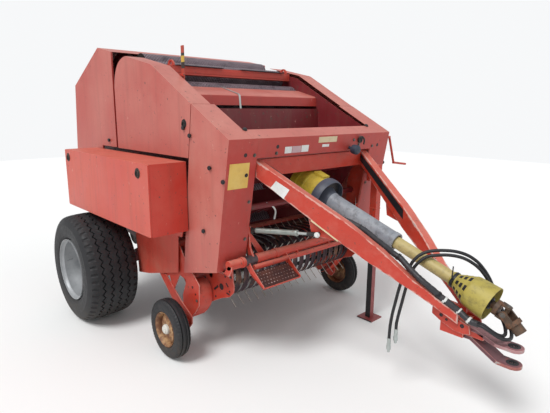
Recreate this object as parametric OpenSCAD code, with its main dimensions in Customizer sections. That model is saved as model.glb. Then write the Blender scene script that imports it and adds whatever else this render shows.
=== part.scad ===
// Fixed chamber round baler, trailed, parked on its jack and gauge wheels.
// The machine runs along Y with its drawbar towards -Y. Z is up and the ground is at 0.
// Pieces are drawn with the axle at y = 0, and frame_y moves them so that the box is centred.

/* [Overall] */
// Half the width over the outer skins
skin_half = 769; // [760:1:775]
// Thickness of the sheet covers
sheet_t = 4; // [3:0.5:6]
// Gap between neighbouring covers
seam_gap = 6; // [5:1:10]
// Height of the roof where front half and tailgate meet
roof_z = 2060; // [2055:1:2075]
// Place of that seam behind the axle
seam_y = -90; // [-95:1:-85]
// Farthest reach of the drawbar in front of the axle
tongue_reach = 2880; // [2860:1:2920]
// Farthest reach of the tailgate behind the axle
tail_reach = 760; // [750:1:800]

/* [Bale chamber] */
// Half the width inside the chamber walls
chamber_half = 600; // [590:1:602]
// Thickness of the chamber walls
wall_t = 6; // [5:1:8]
// Chamber centre behind the axle
chamber_y = -100; // [-110:1:-95]
// Height of the chamber centre
chamber_z = 1270; // [1265:1:1280]
// Radius of the circle of roller centres
roller_ring = 700; // [695:1:705]
// Radius of a press roller
roller_r = 92; // [85:1:95]
// Thickness of a press roller's tube
roller_t = 6; // [4:0.5:8]
// Radius of a roller's shaft ends
roller_shaft_r = 22; // [18:1:28]

/* [Main wheels] */
// Radius of the main tyres
tyre_r = 420; // [415:1:425]
// Width of the main tyres
tyre_w = 390; // [380:1:400]
// Inner face of the main tyres from the centre line
tyre_x = 783; // [780:1:790]
// Radius of the main rims' bead seats
rim_r = 222; // [215:1:230]
// Thickness of the rims' steel
rim_t = 8; // [6:1:10]
// Radius of the stub axles
spindle_r = 25; // [20:1:30]
// Side of the square axle beam
axle_s = 80; // [70:1:90]

/* [Gauge wheels] */
// Radius of the gauge wheels' tyres
gauge_r = 204; // [200:1:208]
// Width of the gauge wheels' tyres
gauge_w = 100; // [90:1:105]
// Outer face of the gauge wheels from the centre line
gauge_x = 926; // [920:1:940]
// Place of the gauge wheels behind the axle
gauge_y = -992; // [-1000:1:-985]
// Radius of the gauge wheels' pins
gauge_pin_r = 12; // [10:1:15]

/* [Drawbar] */
// Width of a drawbar beam
beam_w = 60; // [50:1:70]
// Radius of the hitch pin holes
hitch_hole_r = 16.5; // [14:0.5:20]
// Thickness of a hitch tongue
tongue_t = 20; // [16:1:25]
// Width of a hitch tongue
tongue_w = 92; // [80:1:100]
// Underside of the lower tongue
tongue_z = 390; // [380:1:400]
// Overall height of the two tongues
tongue_stack = 110; // [100:1:120]

/* [Drive shaft] */
// Downward tilt of the shaft towards the tractor
shaft_tilt = 19.3; // [18:0.1:20]
// Radius of the steel shaft
core_r = 20; // [16:1:24]
// Radius of the grey guard tube
guard_tube_r = 52; // [50:1:56]
// Radius of the yellow guard tube
inner_tube_r = 36; // [32:1:40]
// Radius of the front guard cone's mouth
cone_r = 93; // [88:1:98]
// Radius of the bell on the gearbox
bell_r = 120; // [110:1:126]
// Thickness of the guards' plastic
guard_t = 4; // [3:0.5:6]
// Radius of the tractor yoke's splined bore
spline_r = 17.5; // [16:0.5:19]

/* [Pick-up] */
// Half the width over the pick-up's side plates
pickup_half = 632; // [630:1:633]
// Thickness of the side plates
pickup_t = 6; // [5:1:8]
// Place of the reel's centre behind the axle
reel_y = -1130; // [-1135:1:-1125]
// Height of the reel's centre
reel_z = 560; // [555:1:565]
// Radius of the circle of tine tips
tine_tip_r = 265; // [255:1:268]
// Radius of the stripper bands
band_r = 170; // [165:1:175]
// Radius of the reel's shaft
reel_shaft_r = 20; // [16:1:25]

/* [Twine box] */
// Outer face of the twine box from the centre line
box_x = 1037; // [1025:1:1050]
// Height of the box's top
box_top = 1325; // [1315:1:1335]
// Clearance between the tyre and the box
box_gap = 40; // [32:1:60]
// Thickness of the lid panel
lid_t = 12; // [8:1:15]

/* [Jack] */
// Side of the jack's sleeve
sleeve_s = 56; // [50:1:60]
// Wall of the jack's sleeve
sleeve_t = 5; // [4:0.5:6]
// Side of the jack's foot plate
foot_s = 140; // [120:1:150]

/* [Hidden] */
$fn = 48;
// Shift along Y that centres the machine on the origin
frame_y = (tongue_reach - tail_reach) / 2;
// Radial clearance of shafts in bores
run_gap = 0.05;
// Clearance between pieces that move past each other
move_gap = 6;
// Outer face of a chamber wall
wall_x = chamber_half + wall_t;
// Inner face of the outer skins
skin_in = skin_half - sheet_t;
// How far a bore runs past the faces it opens
past = 1;
// Underside of the twine box
box_bottom = 2 * tyre_r + box_gap;

// Mitred offset of point i of an open outline by t to its left
function unit(v) = v / norm(v);
function left(v) = [-v[1], v[0]];
function turn_shift(p, i, t) =
    let (a = i > 0 ? unit(p[i] - p[i - 1]) : unit(p[1] - p[0]))
    let (b = i < len(p) - 1 ? unit(p[i + 1] - p[i]) : a)
    let (n = unit(left(a) + left(b)))
    n * (t / (n * left(a)));
function band(p, t) = concat(p, [for (i = [len(p) - 1:-1:0]) p[i] + turn_shift(p, i, t)]);

// A prism over an outline in y and z, from x0 to x1
module yz(points, x0, x1) {
    translate([x0, 0, 0]) rotate([90, 0, 90]) linear_extrude(x1 - x0) polygon(points);
}

// A round bar along X
module bar_x(y, z, r, x0, x1) {
    translate([x0, y, z]) rotate([0, 90, 0]) cylinder(r = r, h = x1 - x0);
}

// A round bar between two points
module bar(p, q, r) {
    d = q - p;
    translate(p) rotate([0, acos(d[2] / norm(d)), atan2(d[1], d[0])]) cylinder(r = r, h = norm(d));
}

// A box between two corners
module block(low, high) {
    translate(low) cube(high - low);
}

// The left side as drawn, or mirrored to the right
module side(s) {
    if (s == "left") children();
    else mirror([1, 0, 0]) children();
}

// The same piece on both sides
module both() {
    children();
    mirror([1, 0, 0]) children();
}

// Side outline of the covers, as [y, z]
roof_front = [-1534, 1480];
roof_knee = [-1165, 1674];
roof_break = [-690, 1931];
door_top = [-321, 2010];
tail_apex = [153, roof_z + 49];
tail_upper = [tail_reach - 70, 1839];
tail_rear = [tail_reach, 1262];
tail_lower = [tail_reach - 40, 1040];
tail_heel = [430, 600];
notch_y = 180;
cover_foot = [-1013, 575];
column_foot = [-1392, 675];
door_z = box_top + 22;
door_rear_y = seam_y - 25;
door_foot = [-1118, door_z];
seam_half = [seam_gap / 2, 0];
strip_x = 600;
column_x = 552;

// Tailgate pivot, as [y, z]
pivot = [-200, 1960];
pivot_r = 20;

// Press rollers round the chamber, by their angle from the rear and upwards
roller_step = 19;
front_angles = [99, 118, 137, 156, 175, 194, 256];
tail_angles = [for (i = [-4:4]) i * roller_step];
function ring_point(a) = [chamber_y + roller_ring * cos(a), chamber_z + roller_ring * sin(a)];

// A roller: a tube on a through shaft, with holed end discs
module press_roller(a) {
    p = ring_point(a);
    end = chamber_half - seam_gap;
    translate([0, p[0], p[1]]) rotate([0, 90, 0]) {
        difference() {
            translate([0, 0, -end]) cylinder(r = roller_r, h = 2 * end);
            translate([0, 0, -end + roller_t]) cylinder(r = roller_r - roller_t, h = 2 * (end - roller_t));
            for (k = [0:2]) rotate(k * 120) translate([roller_r * 0.62, 0, -end - past])
                cylinder(r = 12, h = 2 * (end + past));
        }
        translate([0, 0, -chamber_half]) cylinder(r = roller_shaft_r, h = 2 * chamber_half);
    }
}

module press_rollers_front() {
    color("dimgray") for (a = front_angles) press_roller(a);
}

module tailgate_rollers() {
    color("dimgray") for (a = tail_angles) press_roller(a);
}

// Front half of the chamber: two walls, cross tubes, the pivot pins and the door hinges
front_wall = [
    [seam_y - 5, 540], [seam_y - 5, 1900], [-150, 2015], [-330, 1990], [-690, 1905],
    [-1150, 1655], [-1480, 1482], [-1480, 1400], [-1426, 1352], [-1180, 1000], [-960, 900], [-815, 800],
    [-815, 680], [-760, 560]
];
hinge_in = 16;
hinge_x = skin_in - hinge_in;
hinge_y = door_rear_y - hinge_in;
hinge_pin_r = 7;
hinge_places = [1420, 1760];
hinge_h = 60;
pin_reach = 34;
pickup_pivot = [-650, 700];
pickup_pin_r = 16;

module chamber_walls() {
    color("firebrick") {
        both() {
            yz(front_wall, chamber_half, wall_x);
            bar_x(pivot[0], pivot[1], pivot_r, wall_x, wall_x + pin_reach);
            bar_x(pickup_pivot[0], pickup_pivot[1], pickup_pin_r, wall_x, pickup_half + 3);
            for (z = hinge_places) {
                block([wall_x, hinge_y - 8, z - 10], [hinge_x + 8, hinge_y + 8, z]);
                translate([hinge_x, hinge_y, z]) cylinder(r = hinge_pin_r, h = hinge_h - 10);
            }
        }
        bar_x(-470, 620, 30, -chamber_half, chamber_half);
        bar_x(-900, 1450, 30, -chamber_half, chamber_half);
    }
}

// Axle beam, its hangers under the walls and the stub axles
hanger_t = 12;
spindle_end = tyre_x + 168;
module axle() {
    color("firebrick") {
        block([-wall_x - 60, -axle_s / 2, tyre_r - axle_s / 2], [wall_x + 60, axle_s / 2, tyre_r + axle_s / 2]);
        both() {
            yz([[-axle_s / 2, tyre_r - axle_s / 2], [axle_s / 2, tyre_r - axle_s / 2],
                [axle_s / 2, tyre_r + axle_s / 2], [seam_y - 12, 530], [seam_y - 12, 700], [-300, 760], [-300, 600]],
                wall_x, wall_x + hanger_t);
            bar_x(0, tyre_r, spindle_r, wall_x + 50, spindle_end);
            bar_x(0, tyre_r, spindle_r + 17, wall_x + 50, tyre_x + 20);
        }
    }
}

// Main wheel. The rim's section is [radius, distance from the tyre's inner face].
hub_from = 30;
hub_to = 190;
hub_r = 70;
lip = 14;
module rim_section() {
    outer = [[rim_r + lip, 8], [rim_r + lip, 18], [rim_r, 30], [rim_r, 130], [rim_r - 22, 160],
        [rim_r - 22, 260], [rim_r, 300], [rim_r, tyre_w - 30], [rim_r + lip, tyre_w - 18], [rim_r + lip, tyre_w - 8]];
    polygon(band(outer, rim_t));
    polygon([[hub_r - 5, 96], [rim_r - 24, 160], [rim_r - 24, 170], [hub_r - 5, 106]]);
}

module rim(s) {
    color("silver") side(s) translate([tyre_x, 0, tyre_r]) rotate([0, 90, 0]) difference() {
        union() {
            rotate_extrude($fn = 96) rim_section();
            translate([0, 0, hub_from]) cylinder(r = hub_r, h = hub_to - hub_from);
        }
        translate([0, 0, hub_from - past]) cylinder(r = spindle_r + run_gap, h = spindle_end - tyre_x + 6 - hub_from + past);
    }
}

bead_gap = 0.4;
module tyre(s) {
    half = [[rim_r + bead_gap, 30.5], [rim_r + lip + bead_gap, 18.5], [rim_r + lip + bead_gap, 6],
        [rim_r + 60, 1], [rim_r + 110, 0], [tyre_r - 45, 4], [tyre_r - 12, 22], [tyre_r, 60]];
    color("#202020") side(s) translate([tyre_x, 0, tyre_r]) rotate([0, 90, 0]) rotate_extrude($fn = 96)
        polygon(concat(half, [for (i = [len(half) - 1:-1:0]) [half[i][0], tyre_w - half[i][1]]]));
}

// Corner cover: outer skin, roof strip and the leaning front face
crank_at = [-1462, 1435];
crank_r = 9;
module corner_cover(s) {
    color("indianred") side(s) difference() {
        union() {
            yz([roof_knee - seam_half, door_foot - seam_half, cover_foot - seam_half, column_foot, roof_front],
                skin_in, skin_half);
            yz(band([column_foot, roof_front], -sheet_t), column_x, skin_half);
            yz(band([roof_front, roof_knee - seam_half], -sheet_t), strip_x, skin_half);
        }
        if (s == "left") bar_x(crank_at[0], crank_at[1], crank_r + 3, skin_in - past, skin_half + past);
    }
}

// Low cover between the corner cover and the wheel, on a bracket from the wall
low_in = skin_in - 10;
module low_cover(s) {
    color("indianred") side(s) {
        yz([[-300, box_bottom - 30], [-1040, box_bottom - 30], [-1010, 560], [-378, 480]], low_in, low_in + sheet_t);
        block([wall_x, -700, box_bottom - 60], [low_in + past, -640, box_bottom - 50]);
    }
}

// Plain cover on the left, where the right side has its box
module mid_cover() {
    color("indianred") {
        yz([[-1106, door_z - 6], [-1048, box_bottom - 24], [door_rear_y, box_bottom - 24], [door_rear_y, door_z - 6]],
            skin_in, skin_half);
        for (y = [-980, -300]) block([wall_x, y, 1100], [skin_in + past, y + 50, 1110]);
    }
}

// Door: the middle cover with its rounded rear corner, roof strip and hinge knuckles
door_strip_x = strip_x + 25;
module door(s) {
    knee = roof_knee + seam_half;
    color("indianred") side(s) difference() {
        union() {
            yz([door_foot + seam_half, [door_rear_y, door_z], [door_rear_y, 1850], [-160, 1940], [-230, 1990],
                door_top, roof_break, knee], skin_in, skin_half);
            yz(band([knee + [15, 8], roof_break, door_top], -sheet_t), door_strip_x, skin_half);
            for (z = hinge_places) {
                translate([hinge_x, hinge_y, z + 0.3]) cylinder(r = hinge_pin_r + 6, h = hinge_h);
                block([hinge_x, hinge_y - 4, z + 0.3], [skin_in + past, hinge_y + 4, z + 0.3 + hinge_h]);
            }
        }
        for (z = hinge_places)
            translate([hinge_x, hinge_y, z - past]) cylinder(r = hinge_pin_r + run_gap, h = hinge_h - 8 + past);
    }
}

// Fascia: the front beam between the corner covers
fascia_z = 1362;
module fascia() {
    color("indianred") {
        yz(band([[-1513, fascia_z], roof_front, [-1443, 1528]], -sheet_t), -column_x, column_x);
        yz([[-1513, fascia_z + 6], [-1440, fascia_z + 6], [-1440, 1430], [-1523, 1430]], -column_x, column_x);
        both() block([column_x, -1478, fascia_z + 45], [chamber_half, -1446, 1428]);
    }
}

// Hopper: the open compartment behind the fascia
module hopper() {
    color("maroon") yz(band([[-940, 1650], [-960, 1350], [-1430, 1350]], sheet_t), -chamber_half, chamber_half);
}

// Roof beam with its lifting eyes
eye_r = 42;
eye_hole_r = 16;
eye_places = [60 - chamber_half, chamber_half - 40];
module roof_beam() {
    color("firebrick") {
        block([-chamber_half, -600, 1885], [chamber_half, -530, 1945]);
        for (x = eye_places)
            translate([x - 6, -565, 1945]) rotate([90, 0, 90]) linear_extrude(12) difference() {
                circle(r = eye_r);
                translate([0, eye_hole_r]) circle(r = eye_hole_r);
                translate([-eye_r - past, -eye_r - past]) square([2 * (eye_r + past), eye_r]);
            }
    }
}

// Cover over the upper front roller
module roller_cover() {
    color("indianred")
        yz(band([[-711, 1800], [-915, 1745], [-925, 1672]], sheet_t), -chamber_half, chamber_half);
}

// Front frame: posts inside the corner covers, cross tubes and brackets
post_in = 640;
post_out = skin_in - 43;
cross_at = [-1445, 745];
cross_r = 30;
lower_at = [-1477, 697];
lower_r = 17;
guard_at = [-1290, 1015];
guard_pin_r = 12;
lug_y = [-1423, -1400];
// Plane in which the drawbar's beams meet the front frame
seat_y = -1480;
bracket_x = 530;
module front_frame() {
    color("orangered") {
        difference() {
            both() {
                yz([[-1380, 720], [-1240, 720], [-1240, 1060], [-1330, 1440], [-1500, 1440]], post_in, post_out);
                yz([[-1470, 1300], [-1100, 1300], [-1100, 1380], [-1470, 1400]], wall_x, post_in + past);
                block([post_out - past, -1440, 1300], [skin_in, -1380, 1310]);
                block([bracket_x, lug_y[0], 880], [post_in + past, lug_y[1], 930]);
                yz([[-1470, 760], [-1465, 730], [-1425, 730], [lug_y[1], 800], [lug_y[1], 930], [lug_y[0], 930],
                    [-1432, 800]], bracket_x, bracket_x + 12);
                bar([bracket_x + 6, -1425, 880], [400, cross_at[0], cross_at[1] + 5], 20);
            }
            bar_x(guard_at[0], guard_at[1], guard_pin_r + run_gap, -post_in - 25, post_in + 25);
        }
        block([-post_in - past, seat_y, 1245], [post_in + past, seat_y + 48, 1350]);
        bar_x(cross_at[0], cross_at[1], cross_r, -post_out, post_out);
        bar_x(lower_at[0], lower_at[1], lower_r, -580, 580);
        for (x = [-160, 160])
            yz([cross_at + [-20, 10], lower_at + [-10, 8], lower_at + [14, -4], cross_at + [20, -10]], x - 5, x + 5);
    }
}

// Drawbar: two tapering beams in upright planes, gussets, head plates and tongues
beam_rear = [518, seat_y];
beam_front = [62, -2600];
beam_angle = atan2(beam_front[1] - beam_rear[1], beam_front[0] - beam_rear[0]);
// Beam outline, as [distance along the beam, z]
beam_top = [[-60, 1350], [0, 1348], [570, 1030], [930, 765], [1180, 620]];
beam_low = [[1180, 520], [880, 712], [570, 892], [0, 1248], [-60, 1250]];
gusset = [[290, 1056], [350, 925], [450, 905], [560, 900]];
strut_pin = [400, 945];
strut_pin_r = 12;
eye_y = -tongue_reach + tongue_w / 2;
head_x = 60;
head_t = 15;
jack_at = [612, -1545];
module in_beam() {
    translate([beam_rear[0], beam_rear[1], 0]) rotate([0, 0, beam_angle]) rotate([90, 0, 0]) children();
}

module drawbar() {
    color("orangered") difference() {
        union() {
            both() {
                in_beam() {
                    translate([0, 0, -beam_w / 2]) linear_extrude(beam_w) polygon(concat(beam_top, beam_low));
                    translate([0, 0, -6]) linear_extrude(12) polygon(gusset);
                }
                block([head_x, -2630, 400], [head_x + head_t, -2470, 640]);
            }
            side("right") in_beam() translate([strut_pin[0], strut_pin[1], -40]) cylinder(r = strut_pin_r, h = 80);
            block([500, jack_at[1] - 20, 1130], [jack_at[0] - sleeve_s / 2, jack_at[1] + 10, 1230]);
            block([-head_x - head_t, -2600, 470], [head_x + head_t, -2470, 560]);
            for (z = [tongue_z, tongue_z + tongue_stack - tongue_t]) {
                translate([0, eye_y, z]) cylinder(r = tongue_w / 2, h = tongue_t);
                block([-tongue_w / 2, eye_y, z], [tongue_w / 2, -2480, z + tongue_t]);
            }
            block([-head_x - 1, -2600, tongue_z], [head_x + 1, -2480, 480]);
        }
        translate([0, eye_y, tongue_z - past]) cylinder(r = hitch_hole_r, h = tongue_stack + 2 * past);
        block([-700, seat_y, 1100], [700, seat_y + 200, 1500]);
    }
}

// Adjusting strut between the right post and the drawbar's gusset
module strut() {
    color("silver") side("right") difference() {
        union() {
            in_beam() translate([strut_pin[0], strut_pin[1], -38]) cylinder(r = 24, h = 24);
            hull() {
                translate([bracket_x - 14, (lug_y[0] + lug_y[1]) / 2, 905]) sphere(r = 13.6, $fn = 24);
                in_beam() translate([strut_pin[0], strut_pin[1], -26]) sphere(r = 13, $fn = 24);
            }
        }
        in_beam() translate([strut_pin[0], strut_pin[1], -50]) cylinder(r = strut_pin_r + run_gap, h = 44);
    }
}

// Gearbox on the centre line, carried by a cross plate
shaft_start = [-1331, 1163];
function on_shaft(d) = [0, shaft_start[0] - d * cos(shaft_tilt), shaft_start[1] - d * sin(shaft_tilt)];
module along_shaft(d) {
    translate(on_shaft(d)) rotate([90 + shaft_tilt, 0, 0]) children();
}
box_half = 110;
module gearbox() {
    color("firebrick") {
        block([-box_half, -1250, 1080], [box_half, -1060, 1280]);
        block([-chamber_half, -1060, 1120], [chamber_half, -1045, 1300]);
        along_shaft(-110) cylinder(r = 58, h = 110);
    }
}

// Yellow bell round the first joint, bolted to the gearbox neck
bell_len = 270;
module gearbox_bell() {
    color("gold") along_shaft(0) difference() {
        cylinder(r1 = bell_r - 12, r2 = bell_r, h = bell_len);
        translate([0, 0, guard_t]) cylinder(r1 = bell_r - 12 - guard_t, r2 = bell_r - guard_t, h = bell_len - guard_t + past / 100);
        translate([0, 0, -past]) cylinder(r = core_r + 12, h = 3 * past + guard_t);
    }
}

// Guard tube with the steel shaft in it
guard_from = 150;
guard_to = 850;
core_to = 1000;
module shaft_guard() {
    color("gray") along_shaft(0) {
        cylinder(r = core_r, h = core_to);
        translate([0, 0, guard_from]) difference() {
            cylinder(r = guard_tube_r, h = guard_to - guard_from);
            translate([0, 0, 12]) cylinder(r = inner_tube_r + move_gap, h = guard_to - guard_from);
        }
    }
}

// Sliding half of the shaft's guard, with its cone
slide_from = 330;
cone_from = 1255;
cone_to = 1458;
module shaft_inner() {
    color("gold") along_shaft(slide_from) difference() {
        union() {
            cylinder(r = inner_tube_r, h = cone_from - slide_from);
            translate([0, 0, cone_from - slide_from]) cylinder(r1 = inner_tube_r, r2 = cone_r, h = cone_to - cone_from);
        }
        translate([0, 0, -past]) cylinder(r = core_r + run_gap, h = cone_to);
        translate([0, 0, cone_from - slide_from + 50])
            cylinder(r1 = inner_tube_r + 8, r2 = cone_r - guard_t + 1, h = cone_to - cone_from - 50 + past / 10);
    }
}

// Cross joint at the tractor's end: turning stub with its fork and cross
joint_at = 1530;
cross_pin_r = 10;
ear_in = 30;
ear_t = 11;
cross_pin_reach = 44;
module fork(reach, w) {
    for (s = [-1, 1]) translate([s * (ear_in + ear_t / 2) - ear_t / 2, -w, -reach]) cube([ear_t, 2 * w, reach]);
    for (s = [-1, 1]) translate([s * (ear_in + ear_t / 2) - ear_t / 2, 0, 0]) rotate([0, 90, 0]) cylinder(r = w, h = ear_t);
    translate([0, 0, -reach - 20]) cylinder(r = ear_in + ear_t, h = 22);
}
module shaft_joint() {
    color("saddlebrown") along_shaft(0) {
        translate([0, 0, core_to + 160]) cylinder(r = core_r, h = joint_at - core_to - 200);
        translate([0, 0, joint_at]) {
            rotate([0, 0, 90]) fork(34, 18);
            rotate([90, 0, 0]) translate([0, 0, -cross_pin_reach]) cylinder(r = cross_pin_r, h = 2 * cross_pin_reach);
            rotate([0, 90, 0]) translate([0, 0, -cross_pin_reach]) cylinder(r = cross_pin_r, h = 2 * cross_pin_reach);
        }
    }
}

// Tractor-side yoke, hanging from the cross
yoke_droop = 25;
module tractor_yoke() {
    color("saddlebrown") translate(on_shaft(joint_at)) rotate([90 + shaft_tilt + yoke_droop, 0, 0]) difference() {
        union() {
            rotate([180, 0, 0]) fork(50, 18);
            translate([0, 0, 60]) cylinder(r = 30, h = 55);
        }
        translate([0, 0, 45]) cylinder(r = spline_r, h = 80);
        rotate([0, 90, 0]) translate([0, 0, -60]) cylinder(r = cross_pin_r + run_gap, h = 120);
    }
}

// Shaft from the gearbox to the chain case on the left wall
module cross_shaft() {
    color("firebrick") bar_x(-1165, 1200, 32, box_half, chamber_half);
}

// Chain wheels outside the left chamber wall
module side_drive() {
    color("dimgray") for (a = front_angles) {
        p = ring_point(a);
        if (a > 99 && a < 200) {
            bar_x(p[0], p[1], 70, wall_x + 10, wall_x + 22);
            bar_x(p[0], p[1], 18, wall_x, wall_x + 32);
        }
    }
}

// Twine box on the right side
box_rear_y = 285;
box_front_y = -1098;
box_in = skin_half + 6;
box_wall = 5;
lid_gap = 0.3;
// Hinges along the box's lower outer edge: a pin between two lugs, in a barrel on the lid
lid_hinges = [-960, 120];
lid_pin_r = 4;
barrel_r = 8;
barrel_l = 60;
lug_w = 8;
module lid_bar(y0, y1, r) {
    translate([box_x, y1, box_bottom]) rotate([90, 0, 0]) cylinder(r = r, h = y1 - y0);
}
module twine_box() {
    color("indianred") side("right") {
        difference() {
            block([box_in, box_front_y, box_bottom], [box_x - lid_t - lid_gap, box_rear_y, box_top]);
            block([box_in + box_wall, box_front_y + box_wall, box_bottom + box_wall],
                [box_x, box_rear_y - box_wall, box_top - box_wall]);
        }
        for (y = [-990, -250]) block([wall_x, y, box_bottom + 40], [box_in + past, y + 50, box_bottom + 60]);
        for (y = lid_hinges) {
            for (end = [y - lug_w, y + barrel_l]) {
                block([box_x - 60, end, box_bottom - 8], [box_x - lid_t - 1, end + lug_w, box_bottom + past]);
                block([box_x - 60, end, box_bottom - 8], [box_x + lid_pin_r, end + lug_w, box_bottom - lid_gap]);
            }
            lid_bar(y - lug_w, y + barrel_l + lug_w, lid_pin_r);
        }
    }
}

// Its outer panel, hinged along the bottom edge
module box_lid() {
    color("indianred") side("right") difference() {
        union() {
            block([box_x - lid_t, box_front_y, box_bottom], [box_x, box_rear_y, box_top]);
            for (y = lid_hinges) lid_bar(y + lid_gap, y + barrel_l - lid_gap, barrel_r);
        }
        for (y = lid_hinges) {
            lid_bar(y - lug_w, y + barrel_l + lug_w, lid_pin_r + run_gap);
            for (end = [y - lug_w - past, y + barrel_l]) lid_bar(end, end + lug_w + past, barrel_r + 1);
        }
    }
}

// Step of tread plate on the lower front tube
step_top = [-1490, 688];
step_foot = [-1625, 560];
module step() {
    color("saddlebrown") side("right") difference() {
        union() {
            yz(band([step_top, step_foot], sheet_t), 186, 544);
            for (x = [186, 540]) yz([step_top + [-6, 70], step_foot + [-8, 12], step_foot + [2, -2], step_top + [2, -2]],
                x, x + sheet_t);
        }
        bar_x(lower_at[0], lower_at[1], lower_r + 0.3, 100, 600);
    }
}

// Bale indicator post on the right chamber wall
module bale_post() {
    color("gold") side("right") block([wall_x, -850, 1760], [wall_x + 10, -820, 2050]);
}

// Crank handle at the left front
module crank() {
    y = crank_at[0];
    color("indianred") {
        bar([post_out, y, crank_at[1]], [886, y, crank_at[1]], crank_r);
        bar([878, y, crank_at[1] + 6], [962, y, 1219], crank_r);
        bar([953, y, 1226], [1140, y, 1200], crank_r);
    }
}

// Jack beside the left beam
module jack_sleeve() {
    s = sleeve_s / 2;
    color("firebrick") translate([jack_at[0], jack_at[1], 0]) difference() {
        block([-s, -s, 520], [s, s, 1240]);
        block([-s + sleeve_t, -s + sleeve_t, 520 - past], [s - sleeve_t, s - sleeve_t, 1230]);
    }
}

foot_t = 10;
module jack_leg() {
    s = sleeve_s / 2 - sleeve_t - run_gap;
    color("black") translate([jack_at[0], jack_at[1], 0]) {
        block([-s, -s, foot_t - past], [s, s, 800]);
        block([-foot_s / 2, -foot_s / 2, 0], [foot_s / 2, foot_s / 2, foot_t]);
    }
}

// Tailgate: outer shell, and inner walls with the pivot ears
ear_x = wall_x + move_gap;
module tailgate_shell() {
    color("indianred") {
        yz(band([[seam_y + 3, roof_z], tail_apex, tail_upper], -sheet_t), -skin_half, skin_half);
        both() yz([[seam_y + 3, roof_z], tail_apex, tail_upper, tail_rear, tail_lower, tail_heel,
            [notch_y, 560], [notch_y, door_z + 3], [seam_y + 3, door_z + 3]], skin_in, skin_half);
    }
}

module tailgate_walls() {
    color("firebrick") {
        both() difference() {
            union() {
                yz([[seam_y, 560], [seam_y, 2035], [150, 2080], [660, 1830], [715, 1262], [680, 1040], [420, 610]],
                    chamber_half, wall_x);
                yz([[-40, 1850], [110, 1850], [110, 2030], [-200, 2005], [-245, 1960], [-200, 1915]],
                    ear_x, ear_x + 12);
                block([wall_x - past, 20, 1860], [ear_x + past, 100, 2020]);
                for (p = [[250, 1990], [660, 1500], [600, 1050]])
                    block([wall_x - past, p[0] - 40, p[1]], [skin_in, p[0], p[1] + 10]);
            }
            bar_x(pivot[0], pivot[1], pivot_r + run_gap, chamber_half, ear_x + 50);
        }
        bar_x(640, 1790, 25, -chamber_half - past, chamber_half + past);
        bar_x(420, 650, 25, -chamber_half - past, chamber_half + past);
    }
}

// Pick-up frame: side plates, cross tube, gauge arms and their pins
tube_at = [-860, 727];
tube_r = 30;
// Outer bracket plates that carry the gauge wheels
bracket_out = skin_in - 23;
bracket_t = 6;
module pickup_frame() {
    color("orangered") {
        both() difference() {
            union() {
                yz([[-1368, 690], [-1368, 530], [-1320, 462], [-990, 248], [-930, 260], [-620, 620], [-620, 740],
                    [-800, 780], [-1000, 780]], pickup_half - pickup_t, pickup_half);
                yz([[-1146, 560], [-1146, 430], [-1100, 330], [-1030, 260], [-960, 220], [-720, 330], [-640, 470],
                    [-640, 600], [-800, 770], [-900, 770], [-1040, 600]], bracket_out - bracket_t, bracket_out);
                yz([[-660, 470], [-720, 300], [-960, 190], [-1030, 190], [-1030, 240], [-760, 480]],
                    bracket_out - past, bracket_out + 7);
                bar_x(gauge_y, gauge_r, gauge_pin_r, bracket_out, gauge_x - 12);
            }
            bar_x(pickup_pivot[0], pickup_pivot[1], pickup_pin_r + run_gap, pickup_half - 20, pickup_half + 20);
            bar_x(reel_y, reel_z, reel_shaft_r + run_gap, pickup_half - 20, pickup_half + 20);
        }
        bar_x(tube_at[0], tube_at[1], tube_r, -bracket_out + past, bracket_out - past);
    }
}

// Stripper bands: bent strips with gaps for the tines, hung from a plate on the cross tube
band_pitch = 66;
band_w = 44;
band_t = 3;
band_n = 9;
band_plate_y = -950;
module pickup_bands() {
    half = band_n * band_pitch + band_w / 2;
    color("#303030") difference() {
        union() {
            for (i = [-band_n:band_n]) yz_band(i * band_pitch);
            block([-half, band_plate_y, reel_z + band_r - 6], [half, tube_at[0], reel_z + band_r]);
        }
        bar_x(tube_at[0], tube_at[1], tube_r + 0.3, -half - past, half + past);
    }
}
module yz_band(x) {
    translate([x - band_w / 2, 0, 0]) rotate([90, 0, 90]) linear_extrude(band_w) {
        translate([reel_y, reel_z]) difference() {
            circle(r = band_r);
            circle(r = band_r - band_t);
            translate([0, -2 * band_r]) square([2 * band_r, 4 * band_r]);
            rotate(55) translate([-2 * band_r, -2 * band_r]) square([4 * band_r, 2 * band_r]);
        }
        translate([reel_y, reel_z + band_r - band_t]) square([band_plate_y - reel_y + 5, band_t]);
    }
}

// Reel: shaft, discs, tine bars and the spring tines in the gaps between the bands
bar_ring = 105;
bar_r = 14;
bar_n = 4;
disc_r = 130;
disc_places = [-610, 0, 610];
tine_r = 3;
module pickup_reel() {
    color("gray") {
        bar_x(reel_y, reel_z, reel_shaft_r, -pickup_half, pickup_half);
        for (x = disc_places) bar_x(reel_y, reel_z, disc_r, x - 3, x + 3);
        for (k = [0:bar_n - 1]) translate([0, reel_y, reel_z]) rotate([k * 360 / bar_n + 50, 0, 0]) {
            bar_x(0, bar_ring, bar_r, disc_places[0], disc_places[2]);
            for (i = [-band_n:band_n - 1]) translate([(i + 0.5) * band_pitch, 0, bar_ring])
                cylinder(r = tine_r, h = tine_tip_r - bar_ring, $fn = 16);
        }
    }
}

module gauge_rim(s) {
    color("peru") side(s) translate([gauge_x, gauge_y, gauge_r]) rotate([0, -90, 0]) difference() {
        union() {
            rotate_extrude() polygon(band([[118, 2], [118, 8], [108, 20], [108, gauge_w - 20], [118, gauge_w - 8],
                [118, gauge_w - 2]], 4));
            rotate_extrude() polygon([[30, 40], [105, 52], [105, 56], [30, 46]]);
            translate([0, 0, 4]) cylinder(r = 35, h = gauge_w - 8);
        }
        translate([0, 0, 10]) cylinder(r = gauge_pin_r + run_gap, h = gauge_w);
    }
}

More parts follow.
